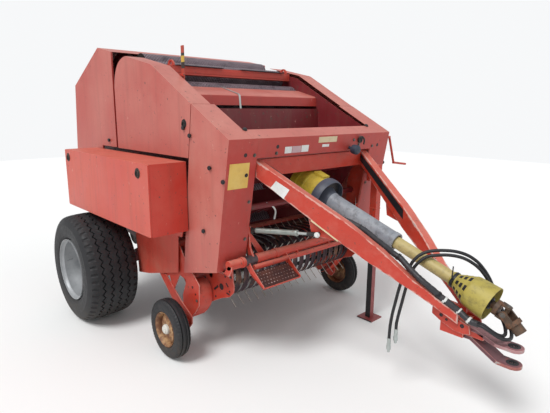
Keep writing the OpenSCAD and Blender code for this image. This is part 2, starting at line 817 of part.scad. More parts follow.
module gauge_tyre(s) {
    half = [[108.4, 20.5], [118.4, 8.5], [118.4, 4], [150, 0], [gauge_r - 20, 5], [gauge_r, 26]];
    color("#202020") side(s) translate([gauge_x, gauge_y, gauge_r]) rotate([0, -90, 0]) rotate_extrude()
        polygon(concat(half, [for (i = [len(half) - 1:-1:0]) [half[i][0], gauge_w - half[i][1]]]));
}

// Wind guard: a tube with long wires over the pick-up, swinging in the posts
module windguard() {
    color("firebrick") {
        bar_x(guard_at[0], guard_at[1], 22, -post_in + move_gap, post_in - move_gap);
        bar_x(guard_at[0], guard_at[1], guard_pin_r, -post_in - 20, post_in + 20);
        for (i = [-7:7]) bar([i * 75, guard_at[0], guard_at[1]], [i * 75, -1040, 900], 5);
    }
}

// The whole machine, with the middle of its length at the origin
module placed() {
    translate([0, frame_y, 0]) children();
}

placed() chamber_walls();
placed() press_rollers_front();
placed() axle();
placed() drawbar();
placed() front_frame();
placed() corner_cover("left");  // corner_cover_left
placed() corner_cover("right");  // corner_cover_right
placed() low_cover("left");  // low_cover_left
placed() low_cover("right");  // low_cover_right
placed() mid_cover();
placed() fascia();
placed() hopper();
placed() roof_beam();
placed() roller_cover();
placed() gearbox();
placed() gearbox_bell();
placed() cross_shaft();
placed() side_drive();
placed() twine_box();
placed() step();
placed() bale_post();
placed() crank();
placed() jack_sleeve();
placed() strut();
placed() shaft_guard();
placed() tyre("left");  // tyre_left
placed() tyre("right");  // tyre_right
placed() rim("left");  // rim_left
placed() rim("right");  // rim_right
placed() door("left");  // door_left
placed() door("right");  // door_right
placed() box_lid();
placed() tailgate_shell();
placed() tailgate_walls();
placed() tailgate_rollers();
placed() pickup_frame();
placed() pickup_bands();
placed() pickup_reel();
placed() gauge_tyre("left");  // gauge_tyre_left
placed() gauge_tyre("right");  // gauge_tyre_right
placed() gauge_rim("left");  // gauge_rim_left
placed() gauge_rim("right");  // gauge_rim_right
placed() windguard();
placed() jack_leg();
placed() shaft_inner();
placed() shaft_joint();
placed() tractor_yoke();
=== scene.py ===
import bmesh
import bpy
import numpy as np
from mathutils import Matrix, Vector


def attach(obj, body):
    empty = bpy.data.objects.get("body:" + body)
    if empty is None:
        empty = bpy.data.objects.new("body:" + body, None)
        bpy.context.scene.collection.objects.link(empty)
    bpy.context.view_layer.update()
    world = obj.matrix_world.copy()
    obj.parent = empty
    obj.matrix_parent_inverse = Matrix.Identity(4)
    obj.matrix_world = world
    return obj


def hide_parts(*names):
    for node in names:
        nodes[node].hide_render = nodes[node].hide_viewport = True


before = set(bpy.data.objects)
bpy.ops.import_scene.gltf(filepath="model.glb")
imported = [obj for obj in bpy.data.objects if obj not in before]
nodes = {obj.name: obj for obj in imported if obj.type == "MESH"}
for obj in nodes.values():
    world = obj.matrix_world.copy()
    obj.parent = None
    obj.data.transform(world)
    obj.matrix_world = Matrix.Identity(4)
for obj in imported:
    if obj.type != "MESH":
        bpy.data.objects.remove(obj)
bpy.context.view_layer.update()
print("frame loaded:", len(nodes), "nodes")

shiftY = 1.06  # the axle stands this far behind the origin; pieces are written with the axle at y = 0


# camera

view = {"place": (-2.285, -3.548 + shiftY, 1.644), "yaw": 42.73, "pitch": 12.0, "roll": 0.33, "lens": 29.87}


def setCamera():
    data = bpy.data.cameras.new("camera")
    data.lens = view["lens"]
    data.sensor_width = 36.0
    data.clip_start = 0.05
    camera = bpy.data.objects.new("camera", data)
    bpy.context.scene.collection.objects.link(camera)
    turn = (Matrix.Rotation(np.radians(-view["yaw"]), 4, "Z")
            @ Matrix.Rotation(np.radians(90.0 - view["pitch"]), 4, "X")
            @ Matrix.Rotation(np.radians(view["roll"]), 4, "Z"))
    camera.matrix_world = Matrix.Translation(Vector(view["place"])) @ turn
    bpy.context.scene.camera = camera


setCamera()


# shapes, as whole arrays

alongX, alongZ = np.array([1.0, 0.0, 0.0]), np.array([0.0, 0.0, 1.0])


def anglesRound(count):
    return np.linspace(0, 2 * np.pi, count, endpoint=False)


def unit(v):
    return v / np.linalg.norm(v, axis=-1, keepdims=True)


def gridFaces(rows, cols, closeRows=False, closeCols=False):
    # a quad between each pair of neighbouring rows and columns; a closed direction wraps round
    r = np.arange(rows if closeRows else rows - 1)
    c = np.arange(cols if closeCols else cols - 1)
    a, b = np.meshgrid(r, c, indexing="ij")
    a2, b2 = (a + 1) % rows, (b + 1) % cols
    return np.stack([a * cols + b, a2 * cols + b, a2 * cols + b2, a * cols + b2], -1).reshape(-1, 4)


def closedGrid(rows, cols):
    return gridFaces(rows, cols, closeRows=True, closeCols=True).tolist()


def merge(shapes):
    # several (points, faces) shapes as one; a fourth column, where one has it, is its worn edge value
    columns = max(np.shape(p)[1] for p, _ in shapes)
    points, faces, start = [], [], 0
    for p, f in shapes:
        p = np.asarray(p, float)
        points.append(np.hstack([p, np.zeros((len(p), columns - p.shape[1]))]))
        faces.extend([[int(i) + start for i in face] for face in f])
        start += len(p)
    return np.concatenate(points), faces


def smoothLine(knots, count):
    # Catmull-Rom curve through the knots, at evenly spaced parameters
    k = np.asarray(knots, float)
    k = np.vstack([2 * k[0] - k[1], k, 2 * k[-1] - k[-2]])
    t = np.linspace(0, len(k) - 3 - 1e-9, count)
    i = t.astype(int)
    f = (t - i)[:, None]
    p0, p1, p2, p3 = k[i], k[i + 1], k[i + 2], k[i + 3]
    return 0.5 * (2 * p1 + (p2 - p0) * f + (2 * p0 - 5 * p1 + 4 * p2 - p3) * f ** 2
                  + (3 * p1 - p0 - 3 * p2 + p3) * f ** 3)


def frames(path, side):
    # at each point of a path: its direction and two directions square to it, the first nearest to side
    t = unit(np.gradient(path, axis=0))
    ref = np.asarray(side, float)
    a = unit(ref - (t @ ref)[:, None] * t)
    return t, a, np.cross(t, a)


def sweptFaces(rows, n):
    last = rows * n
    return gridFaces(rows, n, closeCols=True)[:, ::-1].tolist() + [list(range(n)),
                                                                   list(range(last - 1, last - n - 1, -1))]


def tube(path, radius, sides=12, side=(0.31, 0.2, 0.93)):
    # circles square to the path: point = path + r (a cos u + b sin u)
    path = np.asarray(path, float)
    radius = np.broadcast_to(np.asarray(radius, float), (len(path),))
    _, a, b = frames(path, side)
    u = anglesRound(sides)
    ring = (a[:, None] * np.cos(u)[None, :, None] + b[:, None] * np.sin(u)[None, :, None])
    points = (path[:, None] + radius[:, None, None] * ring).reshape(-1, 3)
    return points, sweptFaces(len(path), sides)


def swept(path, profile, side):
    # a flat profile (a, b) carried along a path
    path = np.asarray(path, float)
    _, a, b = frames(path, side)
    q = np.asarray(profile, float)
    points = (path[:, None] + a[:, None] * q[None, :, :1] + b[:, None] * q[None, :, 1:]).reshape(-1, 3)
    return points, sweptFaces(len(path), len(q))


def turned(profile, place, axis, sides=48, capped=False, loop=False):
    # a profile of (radius, distance) turned about an axis; loop joins its end to its start
    axis = unit(np.asarray(axis, float))
    helper = alongZ if abs(axis[2]) < 0.9 else alongX
    a = unit(np.cross(helper, axis))
    b = np.cross(axis, a)
    q = np.asarray(profile, float)
    if loop:
        q = np.vstack([q, q[:1]])
    u = anglesRound(sides)
    ring = a * np.cos(u)[:, None] + b * np.sin(u)[:, None]
    points = np.asarray(place) + (q[:, None, :1] * ring[None] + q[:, None, 1:] * axis).reshape(-1, 3)
    faces = gridFaces(len(q), sides, closeCols=True).tolist()
    if capped:
        faces += [list(range(sides - 1, -1, -1)), list(range(len(points) - sides, len(points)))]
    return points, faces


def plate(outline, low, high):
    # an outline in y and height between two planes, as a closed prism
    q = np.asarray(outline, float)
    n = len(q)
    points = np.zeros((2, n, 3))
    points[:, :, 1:] = q
    points[0, :, 0] = low
    points[1, :, 0] = high
    return points.reshape(-1, 3), prismFaces(2, n)


def prismFaces(rows, n):
    return gridFaces(rows, n, closeCols=True).tolist() + [list(range(n)),
                                                          list(range(rows * n - 1, (rows - 1) * n - 1, -1))]


def corners(low, high):
    return [low, (high[0], low[1]), high, (low[0], high[1])]


def block(low, high):
    return plate(corners(low[1:], high[1:]), low[0], high[0])


def softCorners(outline, radius, steps=5):
    # each corner becomes a quadratic arc that starts and ends radius away from it
    q = np.asarray(outline, float)
    r = np.broadcast_to(np.asarray(radius, float), (len(q),))
    before, after = np.roll(q, 1, 0) - q, np.roll(q, -1, 0) - q
    room = np.minimum(np.linalg.norm(before, axis=1), np.linalg.norm(after, axis=1)) * 0.49
    r = np.minimum(r, room)[:, None]
    a, b = q + unit(before) * r, q + unit(after) * r
    t = np.linspace(0, 1, steps)[None, :, None]
    return ((1 - t) ** 2 * a[:, None] + 2 * t * (1 - t) * q[:, None] + t ** 2 * b[:, None]).reshape(-1, 2)


def atPlaces(shape, places):
    # one shape repeated at many places
    points, faces = shape
    places = np.asarray(places, float).reshape(-1, 3)
    allPoints = (points[None] + places[:, None]).reshape(-1, 3)
    n = len(points)
    return allPoints, [[i + k * n for i in face] for k in range(len(places)) for face in faces]


def mirrored(shape):
    points, faces = shape
    return points * np.array([-1, 1, 1, 1])[:points.shape[1]], [face[::-1] for face in faces]


def both(shape):
    return merge([shape, mirrored(shape)])


def crossBar(reach, y, z, count, radius, sides):
    # a straight tube along X, from -reach to reach
    x = np.linspace(-reach, reach, count)
    return tube(np.stack([x, np.full(count, y), np.full(count, z)], -1), radius, sides)


def ringOf(count, turnBy, x, y, z, radius):
    # points round an axis along X
    u = anglesRound(count) + turnBy
    return np.stack([np.full(count, x), y + radius * np.cos(u), z + radius * np.sin(u)], -1)


def wornPlate(outline, low, high, margin=0.01, order=(1, 2, 0)):
    # a prism like plate, with a margin along every edge whose worn value falls from 1 to 0; order says which
    # axes the outline's two directions and the thickness take
    q = np.asarray(outline, float)
    n = len(q)
    before, after = unit(q - np.roll(q, 1, 0)), unit(np.roll(q, -1, 0) - q)
    turn = np.sign(np.sum(q[:, 0] * np.roll(q[:, 1], -1) - np.roll(q[:, 0], -1) * q[:, 1]))
    inward = turn * np.stack([-(before + after)[:, 1], (before + after)[:, 0]], -1)
    inward = inward / np.maximum(np.sum((before + after) ** 2, 1, keepdims=True) / 2, 0.5)
    inner = q + inward * margin
    step = min(margin, (high - low) * 0.4)
    rings = [(inner, low, 0), (q, low, 1), (q, low + step, 0), (q, high - step, 0), (q, high, 1),
             (inner, high, 0)]
    points = np.zeros((6, n, 4))
    for k, (ring, height, worn) in enumerate(rings):
        points[k, :, order[0]], points[k, :, order[1]] = ring[:, 0], ring[:, 1]
        points[k, :, order[2]], points[k, :, 3] = height, worn
    return points.reshape(-1, 4), prismFaces(6, n)


def along(start, shape, tilt):
    # a shape drawn with its length along Z, laid along an axis that runs forward and down by tilt degrees
    points, faces = shape
    s, c = np.sin(np.radians(90 + tilt)), np.cos(np.radians(90 + tilt))
    x, y, d = points[:, 0], points[:, 1], points[:, 2]
    moved = np.stack([start[0] + x, start[1] + y * c - d * s, start[2] + y * s + d * c], -1)
    return np.hstack([moved, points[:, 3:]]), faces


def hexBolt(size, direction):
    # a washer with a six-sided head on it, standing on the origin
    washer = turned([(0.001, 0), (size * 1.05, 0), (size * 1.05, size * 0.16), (0.001, size * 0.16)],
                    (0, 0, 0), direction, 16, capped=True)
    head = turned([(size * 0.72, size * 0.16), (size * 0.72, size * 0.66), (size * 0.6, size * 0.76)],
                  (0, 0, 0), direction, 6, capped=True)
    return merge([washer, head])


# pieces


def makePiece(name, shape, material, body="chassis", replaces=(), slot=None, bevel=0.0, solid=0.0,
              flat=False, angle=35, bevelSteps=2, looks=None, uv=None):
    points, faces = shape
    points = np.asarray(points, float)
    mesh = bpy.data.meshes.new(name)
    mesh.from_pydata((points[:, :3] + [0, shiftY, 0]).tolist(), [], [list(map(int, f)) for f in faces])
    if points.shape[1] == 4:
        mesh.attributes.new("edge", "FLOAT", "POINT").data.foreach_set("value", points[:, 3])
    if looks is not None:
        mesh.polygons.foreach_set("material_index", looks)
    if uv is not None:
        corner = np.zeros(len(mesh.loops), int)
        mesh.loops.foreach_get("vertex_index", corner)
        mesh.uv_layers.new(name="net").data.foreach_set("uv", np.asarray(uv, float)[corner].ravel())
    mesh.validate()
    piece = bpy.data.objects.new(name, mesh)
    bpy.context.scene.collection.objects.link(piece)
    materials = material if isinstance(material, list) else [material]
    for each in materials:
        mesh.materials.append(each)
    recalculate(mesh)
    if not flat:
        mesh.shade_smooth()
        mesh.set_sharp_from_angle(angle=np.radians(angle))
    if solid:
        wall = piece.modifiers.new("wall", "SOLIDIFY")
        wall.thickness = solid
        wall.offset = -1
    if bevel:
        edge = piece.modifiers.new("edge", "BEVEL")
        edge.width = bevel
        edge.segments = bevelSteps
        edge.limit_method = "ANGLE"
        edge.angle_limit = np.radians(30)
        edge.harden_normals = True
    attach(piece, body)
    if replaces:
        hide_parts(*replaces)
    return piece


def bothSides(name, shape, material, body="chassis", node=None, **more):
    # the left piece and its mirror image; a star in body or node stands for the side's word
    for word, made in (("left", shape), ("right", mirrored(shape))):
        replaced = [node.replace("*", word)] if node else ()
        makePiece(name + "_" + word, made, material, body.replace("*", word), replaced, **more)


def recalculate(mesh):
    work = bmesh.new()
    work.from_mesh(mesh)
    bmesh.ops.remove_doubles(work, verts=work.verts, dist=1e-5)
    bmesh.ops.recalc_face_normals(work, faces=work.faces)
    work.to_mesh(mesh)
    work.free()


# materials

class Nodes:
    # short names for the nodes of one material
    def __init__(self, name):
        self.material = bpy.data.materials.new(name)
        self.material.use_nodes = True
        self.tree = self.material.node_tree
        self.shader = self.tree.nodes["Principled BSDF"]
        self.coord = self.new("ShaderNodeTexCoord").outputs["Object"]

    def new(self, kind, settings=None, **inputs):
        node = self.tree.nodes.new(kind)
        for key, value in (settings or {}).items():
            setattr(node, key, value)
        for key, value in inputs.items():
            self.put(node.inputs[key.replace("_", " ")], value)
        return node

    def put(self, socket, value):
        if hasattr(value, "is_output"):
            self.tree.links.new(value, socket)
        else:
            socket.default_value = value

    def noise(self, scale, detail=4.0, rough=0.55, stretch=None):
        vector = self.coord
        if stretch:
            vector = self.new("ShaderNodeMapping", Vector=vector, Scale=stretch).outputs[0]
        return self.new("ShaderNodeTexNoise", Vector=vector, Scale=scale, Detail=detail,
                        Roughness=rough).outputs[0]

    def span(self, value, low, high, to=(0.0, 1.0)):
        node = self.new("ShaderNodeMapRange", Value=value)
        node.inputs[1].default_value, node.inputs[2].default_value = low, high
        node.inputs[3].default_value, node.inputs[4].default_value = to
        return node.outputs[0]

    def sum(self, kind, a, b, clamp=False):
        node = self.new("ShaderNodeMath", {"operation": kind, "use_clamp": clamp})
        self.put(node.inputs[0], a)
        self.put(node.inputs[1], b)
        return node.outputs[0]

    def mix(self, factor, a, b):
        node = self.new("ShaderNodeMix", {"data_type": "RGBA"})
        self.put(node.inputs[0], factor)
        self.put(node.inputs[6], a if hasattr(a, "is_output") else (*a, 1.0))
        self.put(node.inputs[7], b if hasattr(b, "is_output") else (*b, 1.0))
        return node.outputs[2]

    def facing(self, axis):
        # how far the surface faces along an axis, from -1 to 1
        normal = self.new("ShaderNodeNewGeometry").outputs["Normal"]
        return self.new("ShaderNodeSeparateXYZ", Vector=normal).outputs[axis]

    def height(self):
        return self.new("ShaderNodeSeparateXYZ", Vector=self.coord).outputs["Z"]

    def bump(self, height, strength=0.3, distance=0.002, normal=None):
        node = self.new("ShaderNodeBump", Height=height, Strength=strength, Distance=distance)
        if normal:
            self.put(node.inputs["Normal"], normal)
        return node.outputs[0]

    def finish(self, colour, rough, metal=None, normal=None):
        if not hasattr(colour, "is_output"):
            colour = (*colour, 1.0)
        for socket, value in (("Base Color", colour), ("Roughness", rough), ("Metallic", metal),
                              ("Normal", normal)):
            if value is not None:
                self.put(self.shader.inputs[socket], value)
        return self.material


# each paint's base and pale colour; the pale one is reached by random fade and by painted light on upward
# faces and, as far as side says, on faces that look along X
paintLooks = {
    "paintUpper": {"base": (0.42, 0.04, 0.03), "fadedAndLit": (0.54, 0.205, 0.165),
                   "side": 0.52, "fadeAndLight": 0.4, "dirt": 0.25, "chips": 0.66},
    "paintLower": {"base": (0.52, 0.04, 0.024), "fadedAndLit": (0.6, 0.16, 0.11),
                   "side": 0.4, "fadeAndLight": 0.3, "dirt": 0.3, "chips": 0.655},
    "paintFrame": {"base": (0.5, 0.04, 0.02), "fadedAndLit": (0.64, 0.22, 0.165),
                   "side": 0.05, "fadeAndLight": 0.25, "dirt": 0.3, "chips": 0.62},
    "paintDark": {"base": (0.17, 0.013, 0.018), "fadedAndLit": (0.3, 0.05, 0.055),
                  "side": 0.1, "fadeAndLight": 0.2, "dirt": 0.55, "chips": 0.62},
}


def paint(name):
    look = paintLooks[name]
    n = Nodes(name)
    broad = n.noise(1.1, 3.0)
    cloud = n.noise(7.0, 8.0, 0.62)
    grain = n.noise(90.0, 4.0)
    # painted light, partly sun fade: faces that look upward are painted paler
    upwardFadeAndLight = n.span(n.facing("Z"), 0.15, 0.85)
    # painted light: faces that look along X are painted paler, by the paint's side value
    paintedSideShading = n.sum("MULTIPLY", n.sum("ABSOLUTE", n.facing("X"), 0.0), look["side"])
    fadeAndLight = n.sum("ADD", n.sum("MULTIPLY", upwardFadeAndLight, 0.75), paintedSideShading)
    fadeAndLight = n.sum("ADD", fadeAndLight, n.span(broad, 0.35, 0.7, (-0.5 * look["fadeAndLight"], look["fadeAndLight"] * 0.6)), True)
    fadeAndLight = n.sum("ADD", fadeAndLight, n.span(cloud, 0.3, 0.8, (-0.16, 0.2)), True)
    # the mix to the pale colour carries sun fade, random fade and painted light together
    colour = n.mix(fadeAndLight, look["base"], look["fadedAndLit"])
    streak = n.noise(3.0, 6.0, 0.6, stretch=(7.0, 7.0, 0.55))
    colour = n.mix(n.span(streak, 0.48, 0.8, (0.0, look["dirt"])), colour, (0.17, 0.065, 0.045))
    dusty = n.span(n.height(), 0.15, 0.95, (0.4, 0.0))
    dusty = n.sum("MULTIPLY", dusty, n.span(cloud, 0.42, 0.7))
    colour = n.mix(dusty, colour, (0.2, 0.13, 0.085))
    chip = n.noise(46.0, 9.0, 0.62)
    chip = n.span(chip, look["chips"], look["chips"] + 0.025)
    colour = n.mix(chip, colour, (0.085, 0.05, 0.04))
    pale = n.span(n.noise(30.0, 8.0, 0.68, stretch=(1.0, 1.0, 0.5)), 0.665, 0.7, (0.0, 0.7))
    colour = n.mix(pale, colour, (0.62, 0.36, 0.3))
    rough = n.span(cloud, 0.3, 0.75, (0.36, 0.6))
    wavy = n.bump(n.noise(2.6, 2.0), 0.35, 0.012)
    skin = n.bump(n.sum("ADD", n.sum("MULTIPLY", grain, 0.3), n.sum("MULTIPLY", chip, -1.0)), 0.22, 0.0012,
                  wavy)
    return n.finish(colour, rough, normal=skin)


paintUpper, paintLower, paintFrame, paintDark = [paint(name) for name in paintLooks]


def wornPaint(name, look, rubbed=(0.66, 0.42, 0.36)):
    # frame paint rubbed pale and grey along the edges, where the attribute "edge" is near 1
    n = Nodes(name)
    edge = n.new("ShaderNodeAttribute", {"attribute_name": "edge"}).outputs["Fac"]
    cloud = n.noise(14.0, 9.0, 0.68)
    broad = n.noise(2.2, 4.0)
    # painted light, partly sun fade: faces that look upward are painted paler
    upwardFadeAndLight = n.span(n.facing("Z"), 0.1, 0.8)
    fadeAndLight = n.sum("ADD", n.sum("MULTIPLY", upwardFadeAndLight, 0.5), n.span(cloud, 0.35, 0.75, (-0.1, 0.25)), True)
    colour = n.mix(fadeAndLight, look["base"], look["fadedAndLit"])
    colour = n.mix(n.span(n.noise(3.5, 6.0), 0.5, 0.8, (0.0, 0.35)), colour, (0.2, 0.05, 0.035))
    rub = n.sum("ADD", edge, n.span(cloud, 0.3, 0.8, (-0.55, 0.45)))
    rub = n.sum("ADD", rub, n.span(broad, 0.3, 0.7, (-0.2, 0.15)))
    pale = n.span(rub, 0.45, 0.7)
    colour = n.mix(n.sum("MULTIPLY", pale, 0.7), colour, rubbed)
    bare = n.span(rub, 0.82, 0.98)
    colour = n.mix(bare, colour, (0.36, 0.33, 0.31))
    chip = n.span(n.noise(60.0, 9.0, 0.65), 0.63, 0.66)
    colour = n.mix(chip, colour, (0.1, 0.055, 0.04))
    rough = n.span(cloud, 0.3, 0.75, (0.36, 0.62))
    skin = n.bump(n.sum("SUBTRACT", n.sum("MULTIPLY", n.noise(90.0, 4.0), 0.3), n.sum("ADD", chip, pale)),
                  0.25, 0.001)
    return n.finish(colour, rough, normal=skin)


def plainMetal(name, base, other, rough=(0.35, 0.6), metal=0.7, rust=0.0, scale=20.0, bump=0.2):
    n = Nodes(name)
    cloud = n.noise(scale, 8.0, 0.65)
    colour = n.mix(n.span(cloud, 0.3, 0.7), base, other)
    if rust:
        spots = n.span(n.noise(scale * 0.6, 9.0, 0.7), 0.62 - 0.3 * rust, 0.72 - 0.25 * rust)
        colour = n.mix(spots, colour, (0.17, 0.07, 0.032))
        n.put(n.shader.inputs["Metallic"], n.sum("MULTIPLY", n.sum("SUBTRACT", 1.0, spots), metal))
    else:
        n.shader.inputs["Metallic"].default_value = metal
    return n.finish(colour, n.span(cloud, 0.3, 0.7, rough),
                    normal=n.bump(n.noise(scale * 6, 5.0, 0.7), bump, 0.001))


def tyreRubber():
    n = Nodes("tyreRubber")
    cloud = n.noise(6.0, 7.0, 0.65)
    dust = n.noise(24.0, 8.0, 0.7)
    colour = n.mix(n.span(cloud, 0.35, 0.7), (0.007, 0.007, 0.009), (0.02, 0.02, 0.022))
    colour = n.mix(n.span(dust, 0.58, 0.74, (0.0, 0.35)), colour, (0.1, 0.095, 0.09))
    low = n.span(n.height(), 0.0, 0.25, (0.4, 0.0))
    colour = n.mix(n.sum("MULTIPLY", low, n.span(dust, 0.4, 0.6)), colour, (0.12, 0.09, 0.06))
    return n.finish(colour, n.span(dust, 0.3, 0.7, (0.5, 0.78)),
                    normal=n.bump(n.noise(160.0, 4.0), 0.25, 0.0008))


def rollerSteel():
    # a net of crossed ridges on the roller, by angle and length in its own UV map
    n = Nodes("rollerSteel")
    uv = n.new("ShaderNodeUVMap").outputs[0]
    parts = n.new("ShaderNodeSeparateXYZ", Vector=uv)
    a = n.sum("ADD", parts.outputs["X"], parts.outputs["Y"])
    b = n.sum("SUBTRACT", parts.outputs["X"], parts.outputs["Y"])
    ridges = []
    for value in (a, b):
        wave = n.sum("PINGPONG", value, 0.5)
        ridges.append(n.span(wave, 0.0, 0.16, (1.0, 0.0)))
    net = n.sum("MAXIMUM", *ridges)
    cloud = n.noise(16.0, 8.0, 0.65)
    colour = n.mix(n.span(cloud, 0.3, 0.7), (0.055, 0.042, 0.055), (0.13, 0.085, 0.105))
    colour = n.mix(n.sum("MULTIPLY", net, n.span(cloud, 0.25, 0.5)), colour, (0.56, 0.46, 0.5))
    return n.finish(colour, n.span(cloud, 0.3, 0.7, (0.4, 0.65)), 0.45, n.bump(net, 0.9, 0.005))


def plastic(name, base, other, dirt, amount):
    n = Nodes(name)
    cloud = n.noise(7.0, 8.0, 0.62, stretch=(1, 1, 1))
    grime = n.noise(22.0, 9.0, 0.68, stretch=(1, 1, 1))
    colour = n.mix(n.span(cloud, 0.3, 0.7), base, other)
    colour = n.mix(n.span(grime, 0.5, 0.74, (0.0, amount)), colour, dirt)
    return n.finish(colour, n.span(cloud, 0.3, 0.7, (0.42, 0.62)),
                    normal=n.bump(n.noise(120.0, 4.0), 0.12, 0.0006))


def treadPlate():
    # dark rusty plate whose raised dimples, where "edge" is near 1, are rubbed pale
    n = Nodes("treadPlate")
    raised = n.new("ShaderNodeAttribute", {"attribute_name": "edge"}).outputs["Fac"]
    cloud = n.noise(12.0, 9.0, 0.7)
    colour = n.mix(n.span(cloud, 0.35, 0.65), (0.035, 0.012, 0.014), (0.115, 0.038, 0.026))
    rubbed = n.sum("ADD", raised, n.span(n.noise(26.0, 8.0, 0.7), 0.35, 0.7, (-0.6, 0.25)))
    colour = n.mix(n.span(rubbed, 0.35, 0.8), colour, (0.5, 0.36, 0.32))
    colour = n.mix(n.span(n.noise(40.0, 8.0, 0.7), 0.62, 0.68), colour, (0.36, 0.16, 0.09))
    return n.finish(colour, 0.62, 0.15, n.bump(cloud, 0.4, 0.002))


def sideShadePaint():
    # painted shade: black on the faces that look sideways, standing for their shade, dull red on the others
    n = Nodes("sideShadePaint")
    paintedSideShading = n.span(n.sum("ABSOLUTE", n.facing("X"), 0.0), 0.6, 0.8)
    cloud = n.noise(24.0, 8.0, 0.68)
    red = n.mix(n.span(cloud, 0.35, 0.7), (0.2, 0.028, 0.03), (0.32, 0.09, 0.085))
    colour = n.mix(paintedSideShading, red, (0.012, 0.011, 0.012))
    return n.finish(colour, n.span(cloud, 0.3, 0.7, (0.4, 0.65)), normal=n.bump(cloud, 0.2, 0.001))


paintWorn = wornPaint("paintWorn", paintLooks["paintFrame"])
mauveDark = wornPaint("mauveDark", {"base": (0.12, 0.045, 0.055), "fadedAndLit": (0.22, 0.1, 0.11)},
                      (0.42, 0.13, 0.1))
mauvePale = wornPaint("mauvePale", {"base": (0.19, 0.075, 0.085), "fadedAndLit": (0.36, 0.18, 0.19)},
                      (0.5, 0.26, 0.26))
darkSteel = plainMetal("darkSteel", (0.022, 0.021, 0.021), (0.06, 0.052, 0.048), (0.4, 0.7), 0.45, 0.15)
boltSteel = plainMetal("boltSteel", (0.1, 0.095, 0.09), (0.22, 0.2, 0.18), (0.35, 0.6), 0.8, 0.2, 40.0)
zincSteel = plainMetal("zincSteel", (0.36, 0.4, 0.39), (0.56, 0.59, 0.57), (0.32, 0.5), 0.75, 0.0, 14.0)
strutGrey = plainMetal("strutGrey", (0.2, 0.235, 0.21), (0.36, 0.38, 0.36), (0.35, 0.65), 0.6, 0.15, 20.0)
wornGrey = plainMetal("wornGrey", (0.055, 0.04, 0.048), (0.15, 0.115, 0.12), (0.35, 0.65), 0.6, 0.3, 16.0)
rustSteel = plainMetal("rustSteel", (0.055, 0.035, 0.026), (0.15, 0.095, 0.06), (0.5, 0.75), 0.35, 0.4, 26.0,
                       0.4)
bandSteel = plainMetal("bandSteel", (0.02, 0.014, 0.018), (0.085, 0.045, 0.055), (0.4, 0.65), 0.5, 0.35, 12.0)
tineSteel = plainMetal("tineSteel", (0.4, 0.36, 0.31), (0.6, 0.56, 0.5), (0.35, 0.6), 0.4, 0.1, 30.0)
rimSilver = plainMetal("rimSilver", (0.26, 0.27, 0.28), (0.4, 0.41, 0.42), (0.38, 0.55), 0.25, 0.05, 9.0)
rimRust = plainMetal("rimRust", (0.36, 0.17, 0.07), (0.5, 0.33, 0.17), (0.5, 0.7), 0.1, 0.75, 22.0)
hubCream = plastic("hubCream", (0.58, 0.56, 0.5), (0.68, 0.66, 0.6), (0.25, 0.18, 0.11), 0.35)
rubber = tyreRubber()
roller = rollerSteel()
hoseBlack = plastic("hoseBlack", (0.005, 0.005, 0.007), (0.013, 0.013, 0.016), (0.05, 0.045, 0.04), 0.15)
bootBlack = plastic("bootBlack", (0.014, 0.014, 0.018), (0.035, 0.035, 0.04), (0.08, 0.05, 0.045), 0.4)
ringGrey = plastic("ringGrey", (0.045, 0.052, 0.075), (0.085, 0.095, 0.125), (0.03, 0.03, 0.035), 0.35)
guardGrey = plastic("guardGrey", (0.19, 0.205, 0.235), (0.33, 0.345, 0.37), (0.055, 0.045, 0.045), 0.7)
guardYellow = plastic("guardYellow", (0.46, 0.32, 0.02), (0.52, 0.4, 0.05), (0.1, 0.07, 0.03), 0.6)
guardOlive = plastic("guardOlive", (0.42, 0.32, 0.11), (0.5, 0.41, 0.18), (0.13, 0.1, 0.06), 0.6)
coneYellow = plastic("coneYellow", (0.34, 0.27, 0.045), (0.45, 0.37, 0.09), (0.09, 0.075, 0.03), 0.7)
plateYellow = plastic("plateYellow", (0.66, 0.41, 0.07), (0.7, 0.5, 0.15), (0.42, 0.23, 0.07), 0.35)
plateWhite = plastic("plateWhite", (0.62, 0.64, 0.62), (0.74, 0.75, 0.73), (0.38, 0.36, 0.33), 0.35)
plateCream = plastic("plateCream", (0.6, 0.48, 0.28), (0.68, 0.57, 0.38), (0.38, 0.26, 0.15), 0.4)
plateMauve = plastic("plateMauve", (0.46, 0.3, 0.32), (0.55, 0.38, 0.4), (0.3, 0.17, 0.17), 0.35)
knobBlue = plastic("knobBlue", (0.01, 0.015, 0.032), (0.03, 0.04, 0.065), (0.06, 0.06, 0.06), 0.25)
treadRust = treadPlate()
print("materials made:", len(bpy.data.materials))


# carried-over CAD nodes keep their shape and get these

nodeLooks = (
    (paintUpper, "roller_cover corner_cover_left corner_cover_right fascia door_left door_right"),
    (paintUpper, "tailgate_shell"),
    (paintLower, "low_cover_left low_cover_right mid_cover box_lid twine_box"),
    (paintDark, "chamber_walls axle hopper gearbox cross_shaft tailgate_walls windguard"),
    (paintFrame, "front_frame drawbar roof_beam bale_post crank jack_sleeve pickup_frame"),
    (darkSteel, "side_drive tailgate_rollers press_rollers_front pickup_bands pickup_reel"),
    (rubber, "tyre_left tyre_right gauge_tyre_left gauge_tyre_right"),
    (rimSilver, "rim_left rim_right"),
    (rimRust, "gauge_rim_left gauge_rim_right"),
    (guardYellow, "gearbox_bell"),
    (guardGrey, "shaft_guard"),
    (guardOlive, "shaft_inner"),
    (zincSteel, "strut"),
    (rustSteel, "shaft_joint tractor_yoke"),
    (treadRust, "step"),
    # the jack leg gets painted shade: its sideways faces are black
    (sideShadePaint(), "jack_leg"),
)
for look, names in nodeLooks:
    for name in names.split():
        nodes[name].data.materials.clear()
        nodes[name].data.materials.append(look)


# hydraulic hoses: two free ones, and the sleeve that carries them along the right beam

